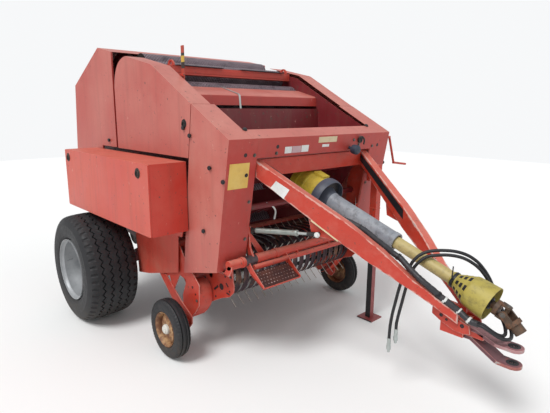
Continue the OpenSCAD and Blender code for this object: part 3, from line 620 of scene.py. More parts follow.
hose = {"radius": 0.009, "coupling": 0.013, "couplingLength": 0.06, "fine": 6}
hoseRoutes = {
    "hoseInner": [
        (-0.096, -2.6903, 0.6), (-0.096, -2.712, 0.6), (-0.086, -2.746, 0.58), (-0.056, -2.768, 0.556),
        (-0.016, -2.78, 0.54), (0.028, -2.776, 0.538), (0.07, -2.754, 0.556), (0.094, -2.722, 0.592),
        (0.112, -2.694, 0.624), (0.124, -2.67, 0.664), (0.126, -2.65, 0.704), (0.12, -2.634, 0.746),
        (0.108, -2.612, 0.786), (0.096, -2.582, 0.82), (0.08, -2.548, 0.846), (0.062, -2.51, 0.864),
        (0.04, -2.47, 0.872), (0.018, -2.43, 0.872), (-0.006, -2.392, 0.866), (-0.032, -2.354, 0.856),
        (-0.056, -2.326, 0.83), (-0.076, -2.304, 0.794), (-0.09, -2.29, 0.752), (-0.098, -2.28, 0.708),
        (-0.1, -2.272, 0.662), (-0.102, -2.264, 0.618), (-0.104, -2.256, 0.572), (-0.106, -2.248, 0.528),
        (-0.108, -2.24, 0.482), (-0.11, -2.234, 0.436), (-0.11, -2.234, 0.392)],
    "hoseOuter": [
        (-0.116, -2.6903, 0.6), (-0.116, -2.716, 0.6), (-0.108, -2.752, 0.584), (-0.086, -2.784, 0.56),
        (-0.05, -2.804, 0.542), (-0.006, -2.812, 0.532), (0.04, -2.802, 0.534), (0.082, -2.776, 0.554),
        (0.106, -2.742, 0.586), (0.128, -2.712, 0.616), (0.142, -2.684, 0.652), (0.146, -2.662, 0.69),
        (0.144, -2.642, 0.732), (0.136, -2.622, 0.772), (0.124, -2.598, 0.81), (0.112, -2.568, 0.844),
        (0.096, -2.532, 0.87), (0.074, -2.496, 0.886), (0.048, -2.458, 0.894), (0.024, -2.42, 0.894),
        (-0.002, -2.382, 0.89), (-0.03, -2.346, 0.88), (-0.058, -2.316, 0.858), (-0.08, -2.294, 0.824),
        (-0.096, -2.28, 0.782), (-0.108, -2.262, 0.738), (-0.116, -2.25, 0.694), (-0.12, -2.24, 0.648),
        (-0.122, -2.232, 0.604), (-0.124, -2.224, 0.558), (-0.126, -2.216, 0.512), (-0.128, -2.21, 0.466),
        (-0.13, -2.206, 0.42), (-0.13, -2.204, 0.376), (-0.13, -2.204, 0.33)],
}
sleeveRoute = [
    (-0.44, -1.4803, 1.29), (-0.44, -1.51, 1.29), (-0.421, -1.581, 1.25), (-0.391, -1.66, 1.186),
    (-0.359, -1.739, 1.122), (-0.31, -1.859, 1.062), (-0.261, -1.98, 1.02), (-0.228, -2.059, 0.984),
    (-0.208, -2.109, 0.948), (-0.183, -2.17, 0.905), (-0.163, -2.221, 0.868), (-0.156, -2.261, 0.849),
    (-0.156, -2.305, 0.817), (-0.156, -2.353, 0.784), (-0.154, -2.395, 0.758), (-0.141, -2.449, 0.723),
    (-0.125, -2.497, 0.688), (-0.11, -2.545, 0.658), (-0.098, -2.585, 0.632), (-0.104, -2.626, 0.611),
    (-0.106, -2.66, 0.6), (-0.106, -2.69, 0.6)]


def couplingShape(place):
    # crimped ferrule, hexagon, sliding sleeve and probe, hanging down from place
    x, y, z = place
    r, n = hose["coupling"], hose["couplingLength"]
    ferrule = turned([(0.006, 0.014), (r * 0.82, 0.012), (r * 0.86, -0.004), (r * 0.8, -0.006),
                      (r * 0.86, -0.01), (r * 0.8, -0.014), (r * 0.78, -0.02)], (x, y, z), alongZ, 20)
    nut = turned([(r * 0.7, -0.02), (r, -0.02), (r, -0.03), (r * 0.7, -0.03)], (x, y, z), alongZ, 6)
    sleeve = turned([(r * 0.75, -0.03), (r * 0.9, -0.031), (r, -0.036), (r, -0.052), (r * 0.94, -n),
                     (r * 0.6, -n - 0.0005), (r * 0.58, -n - 0.016), (r * 0.4, -n - 0.018),
                     (0.001, -n - 0.018)], (x, y, z), alongZ, 24)
    return merge([ferrule, nut, sleeve])


for name, route in hoseRoutes.items():
    line = smoothLine(route, (len(route) - 1) * hose["fine"] + 1)
    piece = makePiece(name, tube(line, hose["radius"], 14), hoseBlack, slot="hose_rubber")
    coupling = makePiece(name + "Coupling", couplingShape(line[-1] - [0, 0, 0.0003]), zincSteel)
    float(np.linalg.norm(np.diff(line, axis=0), axis=1).sum())

sleeve = {"radius": 0.0168, "steps": 127, "creases": 0.0008, "waves": 0.0004}
line = smoothLine(sleeveRoute, sleeve["steps"])
at = np.arange(sleeve["steps"])
ripple = sleeve["radius"] + sleeve["creases"] * np.sin(at * 2.1) + sleeve["waves"] * np.sin(at * 0.7)
makePiece("hoseSleeve", tube(line, ripple, 16), bootBlack)


def wrap(i, radius, turns, thick=0.0022):
    # a tie wound round the sleeve as a short helix, at the line's point i
    u = np.linspace(0, 2 * np.pi * turns, 16 * turns + 1)
    d = unit(line[i + 1] - line[i - 1])
    a = unit(np.cross(d, (0, 0, 1.0)))
    b = np.cross(d, a)
    rise = (u / (2 * np.pi) - turns / 2) * thick * 1.9
    path = line[i] + radius * (a * np.cos(u)[:, None] + b * np.sin(u)[:, None]) + d * rise[:, None]
    return tube(path, thick, 6, d)


ties = [wrap(i, 0.0178, turns) for i, turns in ((98, 3), (108, 2), (117, 3))]
makePiece("sleeveTies", merge(ties), plateWhite)
knots = [wrap(i, 0.0165, turns, 0.004) for i, turns in ((94, 2), (40, 1), (64, 2))]
makePiece("sleeveKnots", merge(knots), hoseBlack, slot="hose_rubber")
print("hoses made")


# main wheels

wheel = {"radius": 0.42, "width": 0.39, "inner": 0.783, "zigzags": 46, "swing": 0.011, "groove": 0.012,
         "depth": 0.013, "steps": 6, "lugDepth": 0.01}


def tyreShape():
    # columns run across the tyre from bead to bead, rows round it; the tread's columns swing from side to
    # side as a triangle wave of the angle, and sink where they lie in a groove or a shoulder gap
    rows = wheel["zigzags"] * wheel["steps"]
    angle = anglesRound(rows)
    wave = 2 * np.abs((np.arange(rows) / wheel["steps"]) % 1.0 * 2 - 1) - 1
    half = wheel["width"] / 2
    wall = np.array([[0.2225, 0.15], [0.2365, 0.158], [0.2385, 0.17], [0.25, 0.181], [0.262, 0.1865],
                     [0.266, 0.19], [0.274, 0.1905], [0.28, 0.1925], [0.3, 0.1945], [0.322, 0.195],
                     [0.342, 0.1935], [0.346, 0.1945], [0.352, 0.193], [0.366, 0.1885], [0.38, 0.1825],
                     [0.391, 0.1765]])
    lugs = np.array([[0.4, 0.169], [0.4055, 0.16], [0.4095, 0.148], [0.412, 0.136]])
    grooves = np.array([-0.094, -0.032, 0.032, 0.094])
    w = wheel["groove"] / 2
    cross, sink, moves = [], [], []
    for i, g in enumerate(grooves):
        left = -0.13 if i == 0 else (grooves[i - 1] + g) / 2
        cross += [left, g - w - 0.003, g - w, g - w * 0.45, g + w * 0.45, g + w, g + w + 0.003]
        sink += [0, 0, 0.002, 1, 1, 0.002, 0]
        moves += [0.35 if i == 0 else 1.0] + [1.0] * 6
    cross += [0.13]
    sink += [0]
    moves += [0.35]
    cross, sink, moves = map(np.array, (cross, sink, moves))
    crown = wheel["radius"] - 0.012 * (cross / 0.136) ** 2 * 0.66
    inWave = np.arange(rows) % wheel["steps"]
    gapHigh = (inWave < 2).astype(float)
    gapLow = ((inWave + wheel["steps"] // 2) % wheel["steps"] < 2).astype(float)
    r = np.concatenate([wall[:, 0], lugs[:, 0], crown, lugs[::-1, 0], wall[::-1, 0]])
    x = np.concatenate([-wall[:, 1], -lugs[:, 1], cross, lugs[::-1, 1], wall[::-1, 1]])
    radius = np.tile(r, (rows, 1))
    across = np.tile(x, (rows, 1))
    n, m = len(wall), len(lugs)
    tread = slice(n + m, n + m + len(cross))
    radius[:, tread] -= wheel["depth"] * sink
    across[:, tread] += wheel["swing"] * wave[:, None] * moves
    low, high = slice(n, n + m), slice(n + m + len(cross), n + 2 * m + len(cross))
    fall = np.array([0.9, 1.0, 1.0, 0.55])
    radius[:, low] -= wheel["lugDepth"] * gapLow[:, None] * fall
    radius[:, high] -= wheel["lugDepth"] * gapHigh[:, None] * fall[::-1]
    c = wheel["inner"] + half
    points = np.stack([np.broadcast_to(across + c, radius.shape), radius * np.cos(angle)[:, None],
                       radius * np.sin(angle)[:, None] + wheel["radius"]], -1).reshape(-1, 3)
    faces = gridFaces(rows, radius.shape[1], closeRows=True, closeCols=True)[:, ::-1]
    return points, faces.tolist()


def rimShape():
    # a turned profile: bead flanges, drop centre and a dished disc, then hub, nuts and cap
    c, z = wheel["inner"], wheel["radius"]
    barrel = [(0.2215, 0.03), (0.236, 0.02), (0.2385, 0.012), (0.2365, 0.006), (0.2325, 0.008),
              (0.231, 0.018), (0.2165, 0.034), (0.2145, 0.12), (0.196, 0.15), (0.195, 0.262), (0.2145, 0.3),
              (0.2165, 0.356), (0.231, 0.372), (0.2325, 0.382), (0.2365, 0.3845), (0.2385, 0.378),
              (0.236, 0.37), (0.2215, 0.36), (0.2205, 0.3), (0.2015, 0.262), (0.2015, 0.156),
              (0.2205, 0.125)]
    disc = [(0.199, 0.178), (0.192, 0.168), (0.165, 0.15), (0.125, 0.14), (0.11, 0.15), (0.098, 0.168),
            (0.06, 0.17), (0.06, 0.16), (0.095, 0.156), (0.106, 0.14), (0.125, 0.13), (0.168, 0.14),
            (0.197, 0.158)]
    parts = [turned(profile, (c, 0, z), alongX, 72, loop=True) for profile in (barrel, disc)]
    hub = turned([(0.001, 0.176), (0.068, 0.176), (0.068, 0.196), (0.06, 0.2), (0.05, 0.202), (0.048, 0.232),
                  (0.04, 0.24), (0.001, 0.241)], (c, 0, z), alongX, 36)
    parts.append(hub)
    nut = turned([(0.001, 0), (0.015, 0), (0.015, 0.012), (0.008, 0.013), (0.008, 0.026), (0.001, 0.027)],
                 (0, 0, 0), alongX, 6)
    parts.append(atPlaces(nut, ringOf(6, 0.3, c + 0.17, 0, z, 0.084)))
    valve = tube([(c + 0.3, 0.19, z + 0.02), (c + 0.33, 0.183, z + 0.02), (c + 0.352, 0.17, z + 0.018)],
                 0.0045, 8)
    return merge(parts + [valve])


bothSides("mainTyre", tyreShape(), rubber, "wheel_*", "tyre_*", angle=28)
bothSides("mainRim", rimShape(), rimSilver, "wheel_*", "rim_*")
print("main wheels made")


# gauge wheels

gauge = {"radius": 0.204, "width": 0.1, "outer": 0.926, "y": -0.992, "lugs": 54}


def gaugeTyreShape():
    # a small ribbed tyre: three straight grooves and a fine block row on each shoulder
    steps = 4
    rows = gauge["lugs"] * steps
    angle = anglesRound(rows)
    w = np.array([0.022, 0.04, 0.0465, 0.0495, 0.048, 0.049, 0.047, 0.044, 0.04, 0.0355, 0.033, 0.029,
                  0.0275, 0.0235, 0.022, 0.009, 0.0075, 0.0])
    r = np.array([0.1085, 0.119, 0.126, 0.142, 0.146, 0.15, 0.172, 0.183, 0.1905, 0.195, 0.1965, 0.1985,
                  0.191, 0.191, 0.2005, 0.2025, 0.195, 0.195])
    across = np.concatenate([-w, w[::-1][1:]])
    radius = np.tile(np.concatenate([r, r[::-1][1:]]), (rows, 1))
    block = (np.arange(rows) % steps < 1).astype(float)[:, None]
    n = len(w)
    for a, b in ((7, 11), (2 * n - 12, 2 * n - 8)):
        radius[:, a:b] -= 0.004 * block
    x = gauge["outer"] - gauge["width"] / 2 + across
    points = np.stack([np.broadcast_to(x, radius.shape), gauge["y"] + radius * np.cos(angle)[:, None],
                       gauge["radius"] + radius * np.sin(angle)[:, None]], -1).reshape(-1, 3)
    return points, gridFaces(rows, radius.shape[1], closeRows=True, closeCols=True)[:, ::-1].tolist()


def gaugeRimShape():
    o, y, z = gauge["outer"], gauge["y"], gauge["radius"]
    barrel = [(0.1075, -0.03), (0.1185, -0.016), (0.12, -0.008), (0.118, -0.003), (0.114, -0.006),
              (0.105, -0.022), (0.1035, -0.05), (0.105, -0.078), (0.114, -0.094), (0.118, -0.097),
              (0.12, -0.092), (0.1185, -0.084), (0.1075, -0.07), (0.1065, -0.05)]
    disc = [(0.1045, -0.048), (0.096, -0.04), (0.082, -0.035), (0.06, -0.033), (0.046, -0.026),
            (0.03, -0.024), (0.03, -0.03), (0.048, -0.033), (0.062, -0.039), (0.084, -0.041),
            (0.1045, -0.054)]
    parts = [turned(profile, (o, y, z), alongX, 56, loop=True) for profile in (barrel, disc)]
    parts.append(turned([(0.001, -0.096), (0.032, -0.096), (0.034, -0.04), (0.034, -0.028)], (o, y, z),
                        alongX, 28))
    nut = turned([(0.001, 0), (0.008, 0), (0.008, 0.007), (0.001, 0.008)], (0, 0, 0), alongX, 6)
    return merge(parts + [atPlaces(nut, ringOf(5, 0.4, o - 0.034, y, z, 0.055))])


hubCap = turned([(0.001, -0.034), (0.034, -0.034), (0.0335, -0.012), (0.029, -0.006), (0.024, -0.0045),
                 (0.022, 0.0), (0.012, 0.0015), (0.001, 0.002)],
                (gauge["outer"], gauge["y"], gauge["radius"]), alongX, 32)
bothSides("gaugeTyre", gaugeTyreShape(), rubber, "gauge_*", "gauge_tyre_*", angle=30)
bothSides("gaugeRim", gaugeRimShape(), rimRust, "gauge_*", "gauge_rim_*")
bothSides("gaugeHub", hubCap, hubCream, "gauge_*")
print("gauge wheels made")


# sheet covers

cover = {"skin": 0.769, "wall": 0.003, "bend": 0.004, "flange": 0.014, "strip": 0.6, "doorStrip": 0.625,
         "column": 0.552, "gap": 0.003, "roof": 2.06, "seam": -0.09, "low": 0.759, "ribHalf": 0.0015}
sheet = {"solid": cover["wall"], "bevel": cover["bend"], "bevelSteps": 3}
roofFront, roofKnee, roofBreak, doorTop = (-1.534, 1.48), (-1.165, 1.674), (-0.69, 1.931), (-0.321, 2.01)
columnFoot, coverFoot, doorFoot, doorRear = (-1.392, 0.675), (-1.013, 0.575), (-1.118, 1.347), -0.115


def foldedSheet(outline, x, strips, flanges=(), depth=None):
    # a flat face at x whose listed edges are folded: a strip runs inwards to its own x, a flange by its
    # depth; the outline runs clockwise seen from the left, so the face takes its points backwards
    q = np.asarray(outline, float)
    depth = depth or cover["flange"]
    points = [(x, *p) for p in q]
    faces = [list(range(len(q)))[::-1]]
    inner = {}

    def inside(i, to):
        if (i, to) not in inner:
            inner[(i, to)] = len(points)
            points.append((to, *q[i]))
        return inner[(i, to)]

    for edges, to in list(strips) + [(edges, x - depth) for edges in flanges]:
        for i in edges:
            j = (i + 1) % len(q)
            faces.append([i, j, inside(j, to), inside(i, to)])
    return np.array(points, float), faces


def cornerCover():
    g = cover["gap"]
    outline = [roofFront, (roofKnee[0] - g, roofKnee[1]), (doorFoot[0] - g, doorFoot[1]),
               (coverFoot[0] - g, coverFoot[1]), columnFoot]
    points, faces = foldedSheet(outline, cover["skin"], [([0], cover["strip"])], [[1, 2, 3]])
    start = len(points)
    lip = np.array([0.016, -0.003])
    more = [(cover["column"], *place) for place in (roofFront, columnFoot, roofFront + lip, columnFoot + lip)]
    corner = [i for i, p in enumerate(points) if np.allclose(p, (cover["strip"], *roofFront))][0]
    faces.append([4, 0, corner, start, start + 1])
    faces.append([start + 1, start, start + 2, start + 3])
    return np.vstack([points, more]), faces


bothSides("cornerCover", cornerCover(), paintUpper, node="corner_cover_*", **sheet)


def doorCover():
    g = cover["gap"]
    arc = smoothLine([doorTop, (-0.262, 1.998), (-0.205, 1.972), (-0.16, 1.928), (-0.128, 1.868),
                      (doorRear, 1.8)], 15)
    outline = np.vstack([[(roofKnee[0] + g, roofKnee[1] + 0.001), roofBreak], arc,
                         [(doorRear, doorFoot[1]), (doorFoot[0] + g, doorFoot[1])]])
    last = len(outline) - 1
    # the rear edge has no fold, where the hinges are
    return foldedSheet(outline, cover["skin"], [([0, 1], cover["doorStrip"])],
                       [list(range(2, last - 2)), [last - 1, last]])


bothSides("doorCover", doorCover(), paintUpper, "door_*", "door_*", **sheet)


def tailCover():
    # two side faces and the roof between them, one sheet folded along the upper edges
    s, roof = cover["seam"] + cover["gap"], cover["roof"]
    outline = np.array([(s, roof), (0.153, roof + 0.049), (0.69, 1.839), (0.76, 1.262), (0.72, 1.04),
                        (0.43, 0.6), (0.18, 0.56), (0.18, 1.35), (s, 1.35)])
    points, faces = foldedSheet(outline, cover["skin"], [], [[2, 3, 4], [5, 6, 7], [8]])
    n = len(points)
    points, faces = both((points, faces))
    faces += [[0, 1, 1 + n, n], [1, 2, 2 + n, 1 + n]]
    lip = len(points)
    points = np.vstack([points, [(cover["skin"], 0.688, 1.81), (-cover["skin"], 0.688, 1.81)]])
    faces.append([2, lip, lip + 1, 2 + n])
    return points, faces


makePiece("tailCover", tailCover(), paintUpper, "tailgate", ["tailgate_shell"], **sheet)
rib = np.array([(-0.08, 2.058), (0.15, 2.1045), (0.66, 1.85)])
ribLine = np.vstack([rib, rib[::-1] - [0, 0.022]])
ribs = [plate(ribLine, x - cover["ribHalf"], x + cover["ribHalf"]) for x in (-0.52, -0.26, 0.0, 0.26, 0.52)]
makePiece("tailRibs", merge(ribs), paintDark, "tailgate")


def lowCover():
    outline = [(-0.945, 0.85), (-0.3, 0.85), (-0.33, 0.392), (-0.504, 0.428), (-0.923, 0.547)]
    return foldedSheet(outline, cover["low"], [], [[0, 1, 2, 3, 4]], cover["wall"])


bothSides("lowCover", lowCover(), paintLower, node="low_cover_*", **sheet)


def midCover():
    outline = [(-1.106, 1.341), (doorRear, 1.341), (doorRear, 0.856), (-1.048, 0.856)]
    return foldedSheet(outline, cover["skin"], [], [[0, 1, 2, 3]])


makePiece("midCover", midCover(), paintLower, replaces=["mid_cover"], **sheet)
ladder = [block((0.7685, y, 0.93), (0.7735, y + 0.018, 1.27)) for y in (-0.98, -0.78, -0.58, -0.38, -0.18)]
makePiece("midRibs", merge(ladder), paintLower, bevel=0.002)


def fasciaShape():
    # front beam: leaning face, roof flange and under flange, all along X
    outline = np.array([(-1.44, 1.372), (-1.5135, 1.3635), (-1.534, 1.48), (-1.443, 1.528), (-1.438, 1.508)])
    w = [cover["column"] - 0.0005, cover["strip"] - 0.0005]
    points, faces = [], []
    for x in (w[0], -w[0]):
        points += [(x, *p) for p in outline]
    n = len(outline)
    for i in range(n - 1):
        faces.append([i, i + 1, i + 1 + n, i + n])
    for side in (1, -1):
        a = len(points)
        points += [(side * w[0], *outline[2]), (side * w[1], *outline[2]), (side * w[1], *outline[3]),
                   (side * w[0], *outline[3])]
        faces.append([a, a + 3, a + 2, a + 1] if side < 0 else [a, a + 1, a + 2, a + 3])
    return np.array(points), faces


makePiece("fascia", fasciaShape(), paintUpper, replaces=["fascia"], **sheet)
rail = block((-0.548, -1.506, 1.3625), (0.548, -1.4425, 1.372))
ties = [block((side * 0.576 - 0.024, -1.478, 1.407), (side * 0.576 + 0.024, -1.446, 1.428))
        for side in (1, -1)]
makePiece("fasciaRail", merge([rail] + ties), paintFrame, bevel=0.003)
print("covers made")


# twine box

twineBox = {"x": 1.037, "inner": 0.775, "rear": 0.285, "front": -1.098, "top": 1.325, "bottom": 0.88,
            "lid": 0.012, "fold": 0.0118, "round": 0.012}


def boxShell():
    b = twineBox
    x0, x1 = b["inner"], b["x"] - b["lid"] - 0.0005
    o = corners((b["front"], b["bottom"]), (b["rear"], b["top"]))
    points = [(x0, *p) for p in o] + [(x1, *p) for p in o]
    faces = [[0, 1, 5, 4], [1, 2, 6, 5], [2, 3, 7, 6], [3, 0, 4, 7], [3, 2, 1, 0]]
    return np.array(points, float), [f[::-1] for f in faces]


def boxPanel():
    # the outer panel: a tray with a rounded edge all round
    b = twineBox
    o = softCorners([(b["front"], b["bottom"]), (b["front"], b["top"]), (b["rear"], b["top"]),
                     (b["rear"], b["bottom"])], b["round"], 4)
    return foldedSheet(o, b["x"], [], [list(range(len(o)))], b["fold"])


makePiece("boxShell", mirrored(boxShell()), paintLower, replaces=["twine_box"], solid=0.003, bevel=0.005,
          bevelSteps=3)
makePiece("boxPanel", mirrored(boxPanel()), paintLower, "box_lid", ["box_lid"], solid=0.003, bevel=0.004,
          bevelSteps=3)
legs = [block((-0.78, y, 0.92), (-0.606, y + 0.05, 0.94)) for y in (-0.99, -0.25)]
legs += [plate([(-1.07, 0.878), (-0.5, 0.878), (-0.52, 0.85), (-1.05, 0.832)], -0.8, -0.792)]
legs += [block((-0.98, y, 0.862), (-0.79, y + 0.035, 0.8795)) for y in (-0.96, 0.12)]
makePiece("boxLegs", merge(legs), paintLower, bevel=0.002)


def latchRing(place, size=0.026):
    # a recessed cup with a ring pull in it, on a panel that faces -X
    x, y, z = place
    cup = turned([(0.001, 0.0008), (size, 0.0008), (size * 1.18, 0.003), (size * 1.25, 0.0005)], (x, y, z),
                 (-1, 0, 0), 28)
    u = np.linspace(0, 2 * np.pi, 25)
    ring = tube(np.stack([np.full(25, x - 0.006), y + size * 0.78 * np.cos(u),
                          z - 0.004 + size * 0.78 * np.sin(u)], -1), 0.0032, 8, alongX)
    return merge([cup, ring])


latches = [latchRing((-twineBox["x"], y, z)) for y, z in ((-0.969, 1.262), (0.214, 1.267))]
makePiece("boxLatches", merge(latches), darkSteel, "box_lid")
print("twine box made")


# knobs, bolts and plates on the covers

knobs = {"size": 0.0135, "height": 0.016}


def knobShape(direction):
    s, h = knobs["size"], knobs["height"]
    return turned([(s * 0.7, 0), (s * 0.75, h * 0.3), (s, h * 0.42), (s * 1.02, h * 0.72),
                   (s * 0.86, h * 0.95), (0.001, h)], (0, 0, 0), direction, 20)


sidePlaces = {"cover": [(-1.352, 1.309), (-1.272, 0.914), (-1.482, 1.242), (-1.149, 1.486)],
              "door": [(-1.08, 1.53)], "tail": [(0.032, 1.399)]}
bodyOf = {"cover": ("chassis", "chassis"), "door": ("door_left", "door_right"),
          "tail": ("tailgate", "tailgate")}
for word, places in sidePlaces.items():
    for side, body in zip((1, -1), bodyOf[word]):
        spots = [(side * cover["skin"], *p) for p in places]
        makePiece("knobs_" + word + ("_left" if side > 0 else "_right"),
                  atPlaces(knobShape((side, 0, 0)), spots), hoseBlack, body, slot="hose_rubber")
for side, body in ((1, "door_left"), (-1, "door_right")):
    ring = latchRing((-cover["skin"], -1.08, 1.556), 0.022)
    makePiece("doorLatch" + ("Left" if side > 0 else "Right"), ring if side < 0 else mirrored(ring),
              darkSteel, body)


def onFace(points):
    # x, height and distance out, on the leaning front face of columns and fascia
    q = np.asarray(points, float)
    lean = (roofFront[0] - columnFoot[0]) / (roofFront[1] - columnFoot[1])
    y = columnFoot[0] + lean * (q[:, 1] - columnFoot[1]) - (q[:, 2] if q.shape[1] > 2 else 0)
    return np.stack([q[:, 0], y, q[:, 1]], -1)


def signPlate(low, high):
    # a thin bare plate on the front face between two corners, in x and height
    (x0, z0), (x1, z1) = low, high
    points = [(x, z, out) for out in (0.0002, 0.0012) for x, z in ((x0, z0), (x1, z0), (x1, z1), (x0, z1))]
    return onFace(points), [[3, 2, 1, 0], [4, 5, 6, 7], [0, 1, 5, 4], [1, 2, 6, 5], [2, 3, 7, 6],
                            [3, 0, 4, 7]]


signs = (
    ("plateYellow", (-0.748, 1.192), (-0.603, 1.342), plateYellow),
    ("plateLeft", (-0.332, 1.379), (-0.272, 1.42), plateWhite),
    ("plateMiddle", (-0.268, 1.379), (-0.19, 1.421), plateMauve),
    ("plateRight", (-0.186, 1.38), (-0.121, 1.423), plateWhite),
    ("plateCream", (-0.033, 1.432), (0.151, 1.47), plateCream),
    ("plateSmall", (0.01, 1.402), (0.078, 1.42), plateWhite),
)
for name, low, high, look in signs:
    makePiece(name, signPlate(low, high), look, flat=True)

lean = unit(np.array([0, -1.0, -0.176]))
faceBolt = hexBolt(0.011, lean)
spots = onFace([(-0.573, 1.383, 0.0), (0.405, 1.402, 0.0), (0.34, 1.437, 0.0), (-0.4, 1.385, 0.0),
                (0.573, 1.383, 0.0), (-0.577, 1.1, 0.0), (-0.577, 0.86, 0.0), (0.577, 1.1, 0.0),
                (0.577, 0.86, 0.0)])
makePiece("faceBolts", atPlaces(faceBolt, spots), boltSteel)
hole = turned([(0.001, 0.0006), (0.012, 0.0006), (0.0125, 0.0)], (0, 0, 0), lean, 20)
spots = onFace([(-0.64, 1.387, 0.0), (-0.395, 1.424, 0.0), (-0.62, 1.268, 0.0015), (0.64, 1.387, 0.0)])
makePiece("faceHoles", atPlaces(hole, spots), hoseBlack)
cap = turned([(0.001, 0.012), (0.01, 0.011), (0.014, 0.006), (0.015, 0.0)], (0, 0, 0), (0, -0.46, 0.888), 20)
makePiece("cornerCaps", atPlaces(cap, [(-0.588, -1.446, 1.5275), (0.588, -1.446, 1.5275)]), hoseBlack,
          slot="hose_rubber")
knob = turned([(0.001, 0.0), (0.01, 0.0), (0.011, 0.03), (0.03, 0.034), (0.034, 0.048), (0.033, 0.075),
               (0.024, 0.086), (0.001, 0.088)], onFace([(0.302, 1.383, 0)])[0], lean, 28)
makePiece("controlKnob", knob, knobBlue)
handle = onFace([(0.375, 1.452, 0.016), (0.392, 1.458, 0.03), (0.418, 1.436, 0.034), (0.432, 1.404, 0.026)])
boss = turned([(0.001, 0), (0.022, 0), (0.022, 0.014), (0.01, 0.018), (0.001, 0.018)],
              onFace([(0.405, 1.436, 0)])[0], lean, 24)
latch = [tube(smoothLine(handle, 14), 0.006, 10), boss]
makePiece("controlLatch", merge(latch), darkSteel)
print("knobs and plates made")


# drawbar: two tapering beams, gussets, head plates and tongues

beam = {"rear": (0.518, -1.48), "angle": np.radians(-112.15), "width": 0.06, "margin": 0.021, "bend": 0.004}
beamLine = [(0.0, 1.348), (0.57, 1.03), (0.773, 0.893), (0.93, 0.765), (1.18, 0.612), (1.18, 0.556),
            (1.053, 0.634), (0.937, 0.698), (0.707, 0.817), (0.57, 0.892), (0.0, 1.248)]
gussetLine = [(0.33, 1.043), (0.355, 0.932), (0.44, 0.922), (0.535, 0.914)]
headLine = [(-2.425, 0.604), (-2.504, 0.598), (-2.633, 0.556), (-2.643, 0.513), (-2.609, 0.502),
            (-2.555, 0.503), (-2.475, 0.533), (-2.425, 0.56)]
headHoles = [(-2.48, 0.567, 0.008), (-2.511, 0.552, 0.006), (-2.597, 0.545, 0.009)]


def inBeam(shape):
    # from the beam's own plane (out of it, along it, height) to its place on the left
    points, faces = shape
    c, s = np.cos(beam["angle"]), np.sin(beam["angle"])
    off, run = points[:, 0], points[:, 1]
    moved = np.stack([beam["rear"][0] + run * c + off * s, beam["rear"][1] + run * s - off * c,
                      points[:, 2]], -1)
    moved[:, 1] = np.where(moved[:, 2] > 1.1, np.minimum(moved[:, 1], beam["rear"][1]), moved[:, 1])
    return np.hstack([moved, points[:, 3:]]), faces


beamHalf = beam["width"] / 2
beams = inBeam(wornPlate(beamLine, -beamHalf, beamHalf, beam["margin"]))
makePiece("beams", both(beams), paintWorn, replaces=["drawbar"], bevel=beam["bend"], bevelSteps=3)
gussets = inBeam(wornPlate(gussetLine, -0.0065, 0.0065, 0.008))
makePiece("gussets", both(gussets), paintWorn, bevel=0.002)
# painted highlight: the weld bead where the gusset meets the beam is red frame paint, drawn pale cream where
# it catches the light
seam = np.linspace((-beamHalf, 0.358, 1.024), (-beamHalf, 0.522, 0.9215), 60)
bead = inBeam(tube(seam, 0.0045 + 0.001 * np.sin(np.arange(60) * 1.9), 8, alongX))
makePiece("gussetWeldsHighlit", both(bead), plateCream, slot="red_frame")
sign = inBeam(plate([(0.1, 1.192), (0.136, 1.236), (0.222, 1.19), (0.185, 1.134)], -beamHalf - 0.0012,
                    -beamHalf + 0.001))
makePiece("beamPlate", mirrored(sign), plateWhite, flat=True)
# painted shade: a thin black strip on the left beam's inner face stands for the shade on that face
strip = inBeam(plate([(0.02, 1.275), (0.57, 0.955), (0.57, 1.015), (0.02, 1.325)], beamHalf - 0.001,
                     beamHalf + 0.0025))
makePiece("beamShadeStrip", strip, hoseBlack)

makePiece("headPlates", both(wornPlate(headLine, 0.06, 0.075, 0.007)), paintWorn, bevel=0.003)
rings = [turned([(r * 1.25, 0.0), (r * 1.25, 0.0012), (r, 0.0016), (r * 0.96, 0.0004), (0.001, 0.0004)],
                (0.075, y, z), alongX, 20) for y, z, r in headHoles]
makePiece("headHoles", both(merge(rings)), hoseBlack)
blocks = [wornPlate(corners((-2.6, 0.47), (-2.47, 0.56)), -0.0605, 0.0605, 0.009),
          wornPlate(corners((-2.7, 0.488), (-2.599, 0.522)), -0.046, 0.046, 0.006)]
makePiece("headBlocks", merge(blocks), paintWorn, bevel=0.004)
makePiece("jackBlock", block((0.5, -1.565, 1.13), (0.584, -1.535, 1.23)), paintFrame, bevel=0.003)
pinOuter = (-0.4043, -1.8656, 0.945)
makePiece("strutPin", tube([(-0.3302, -1.8354, 0.945), pinOuter], 0.012, 16), boltSteel)

tongue = {"half": 0.046, "thick": 0.02, "bore": 0.0165, "ringed": 0.0225, "low": 0.41, "high": 0.5,
          "sides": 72}
hitchPin = -2.834


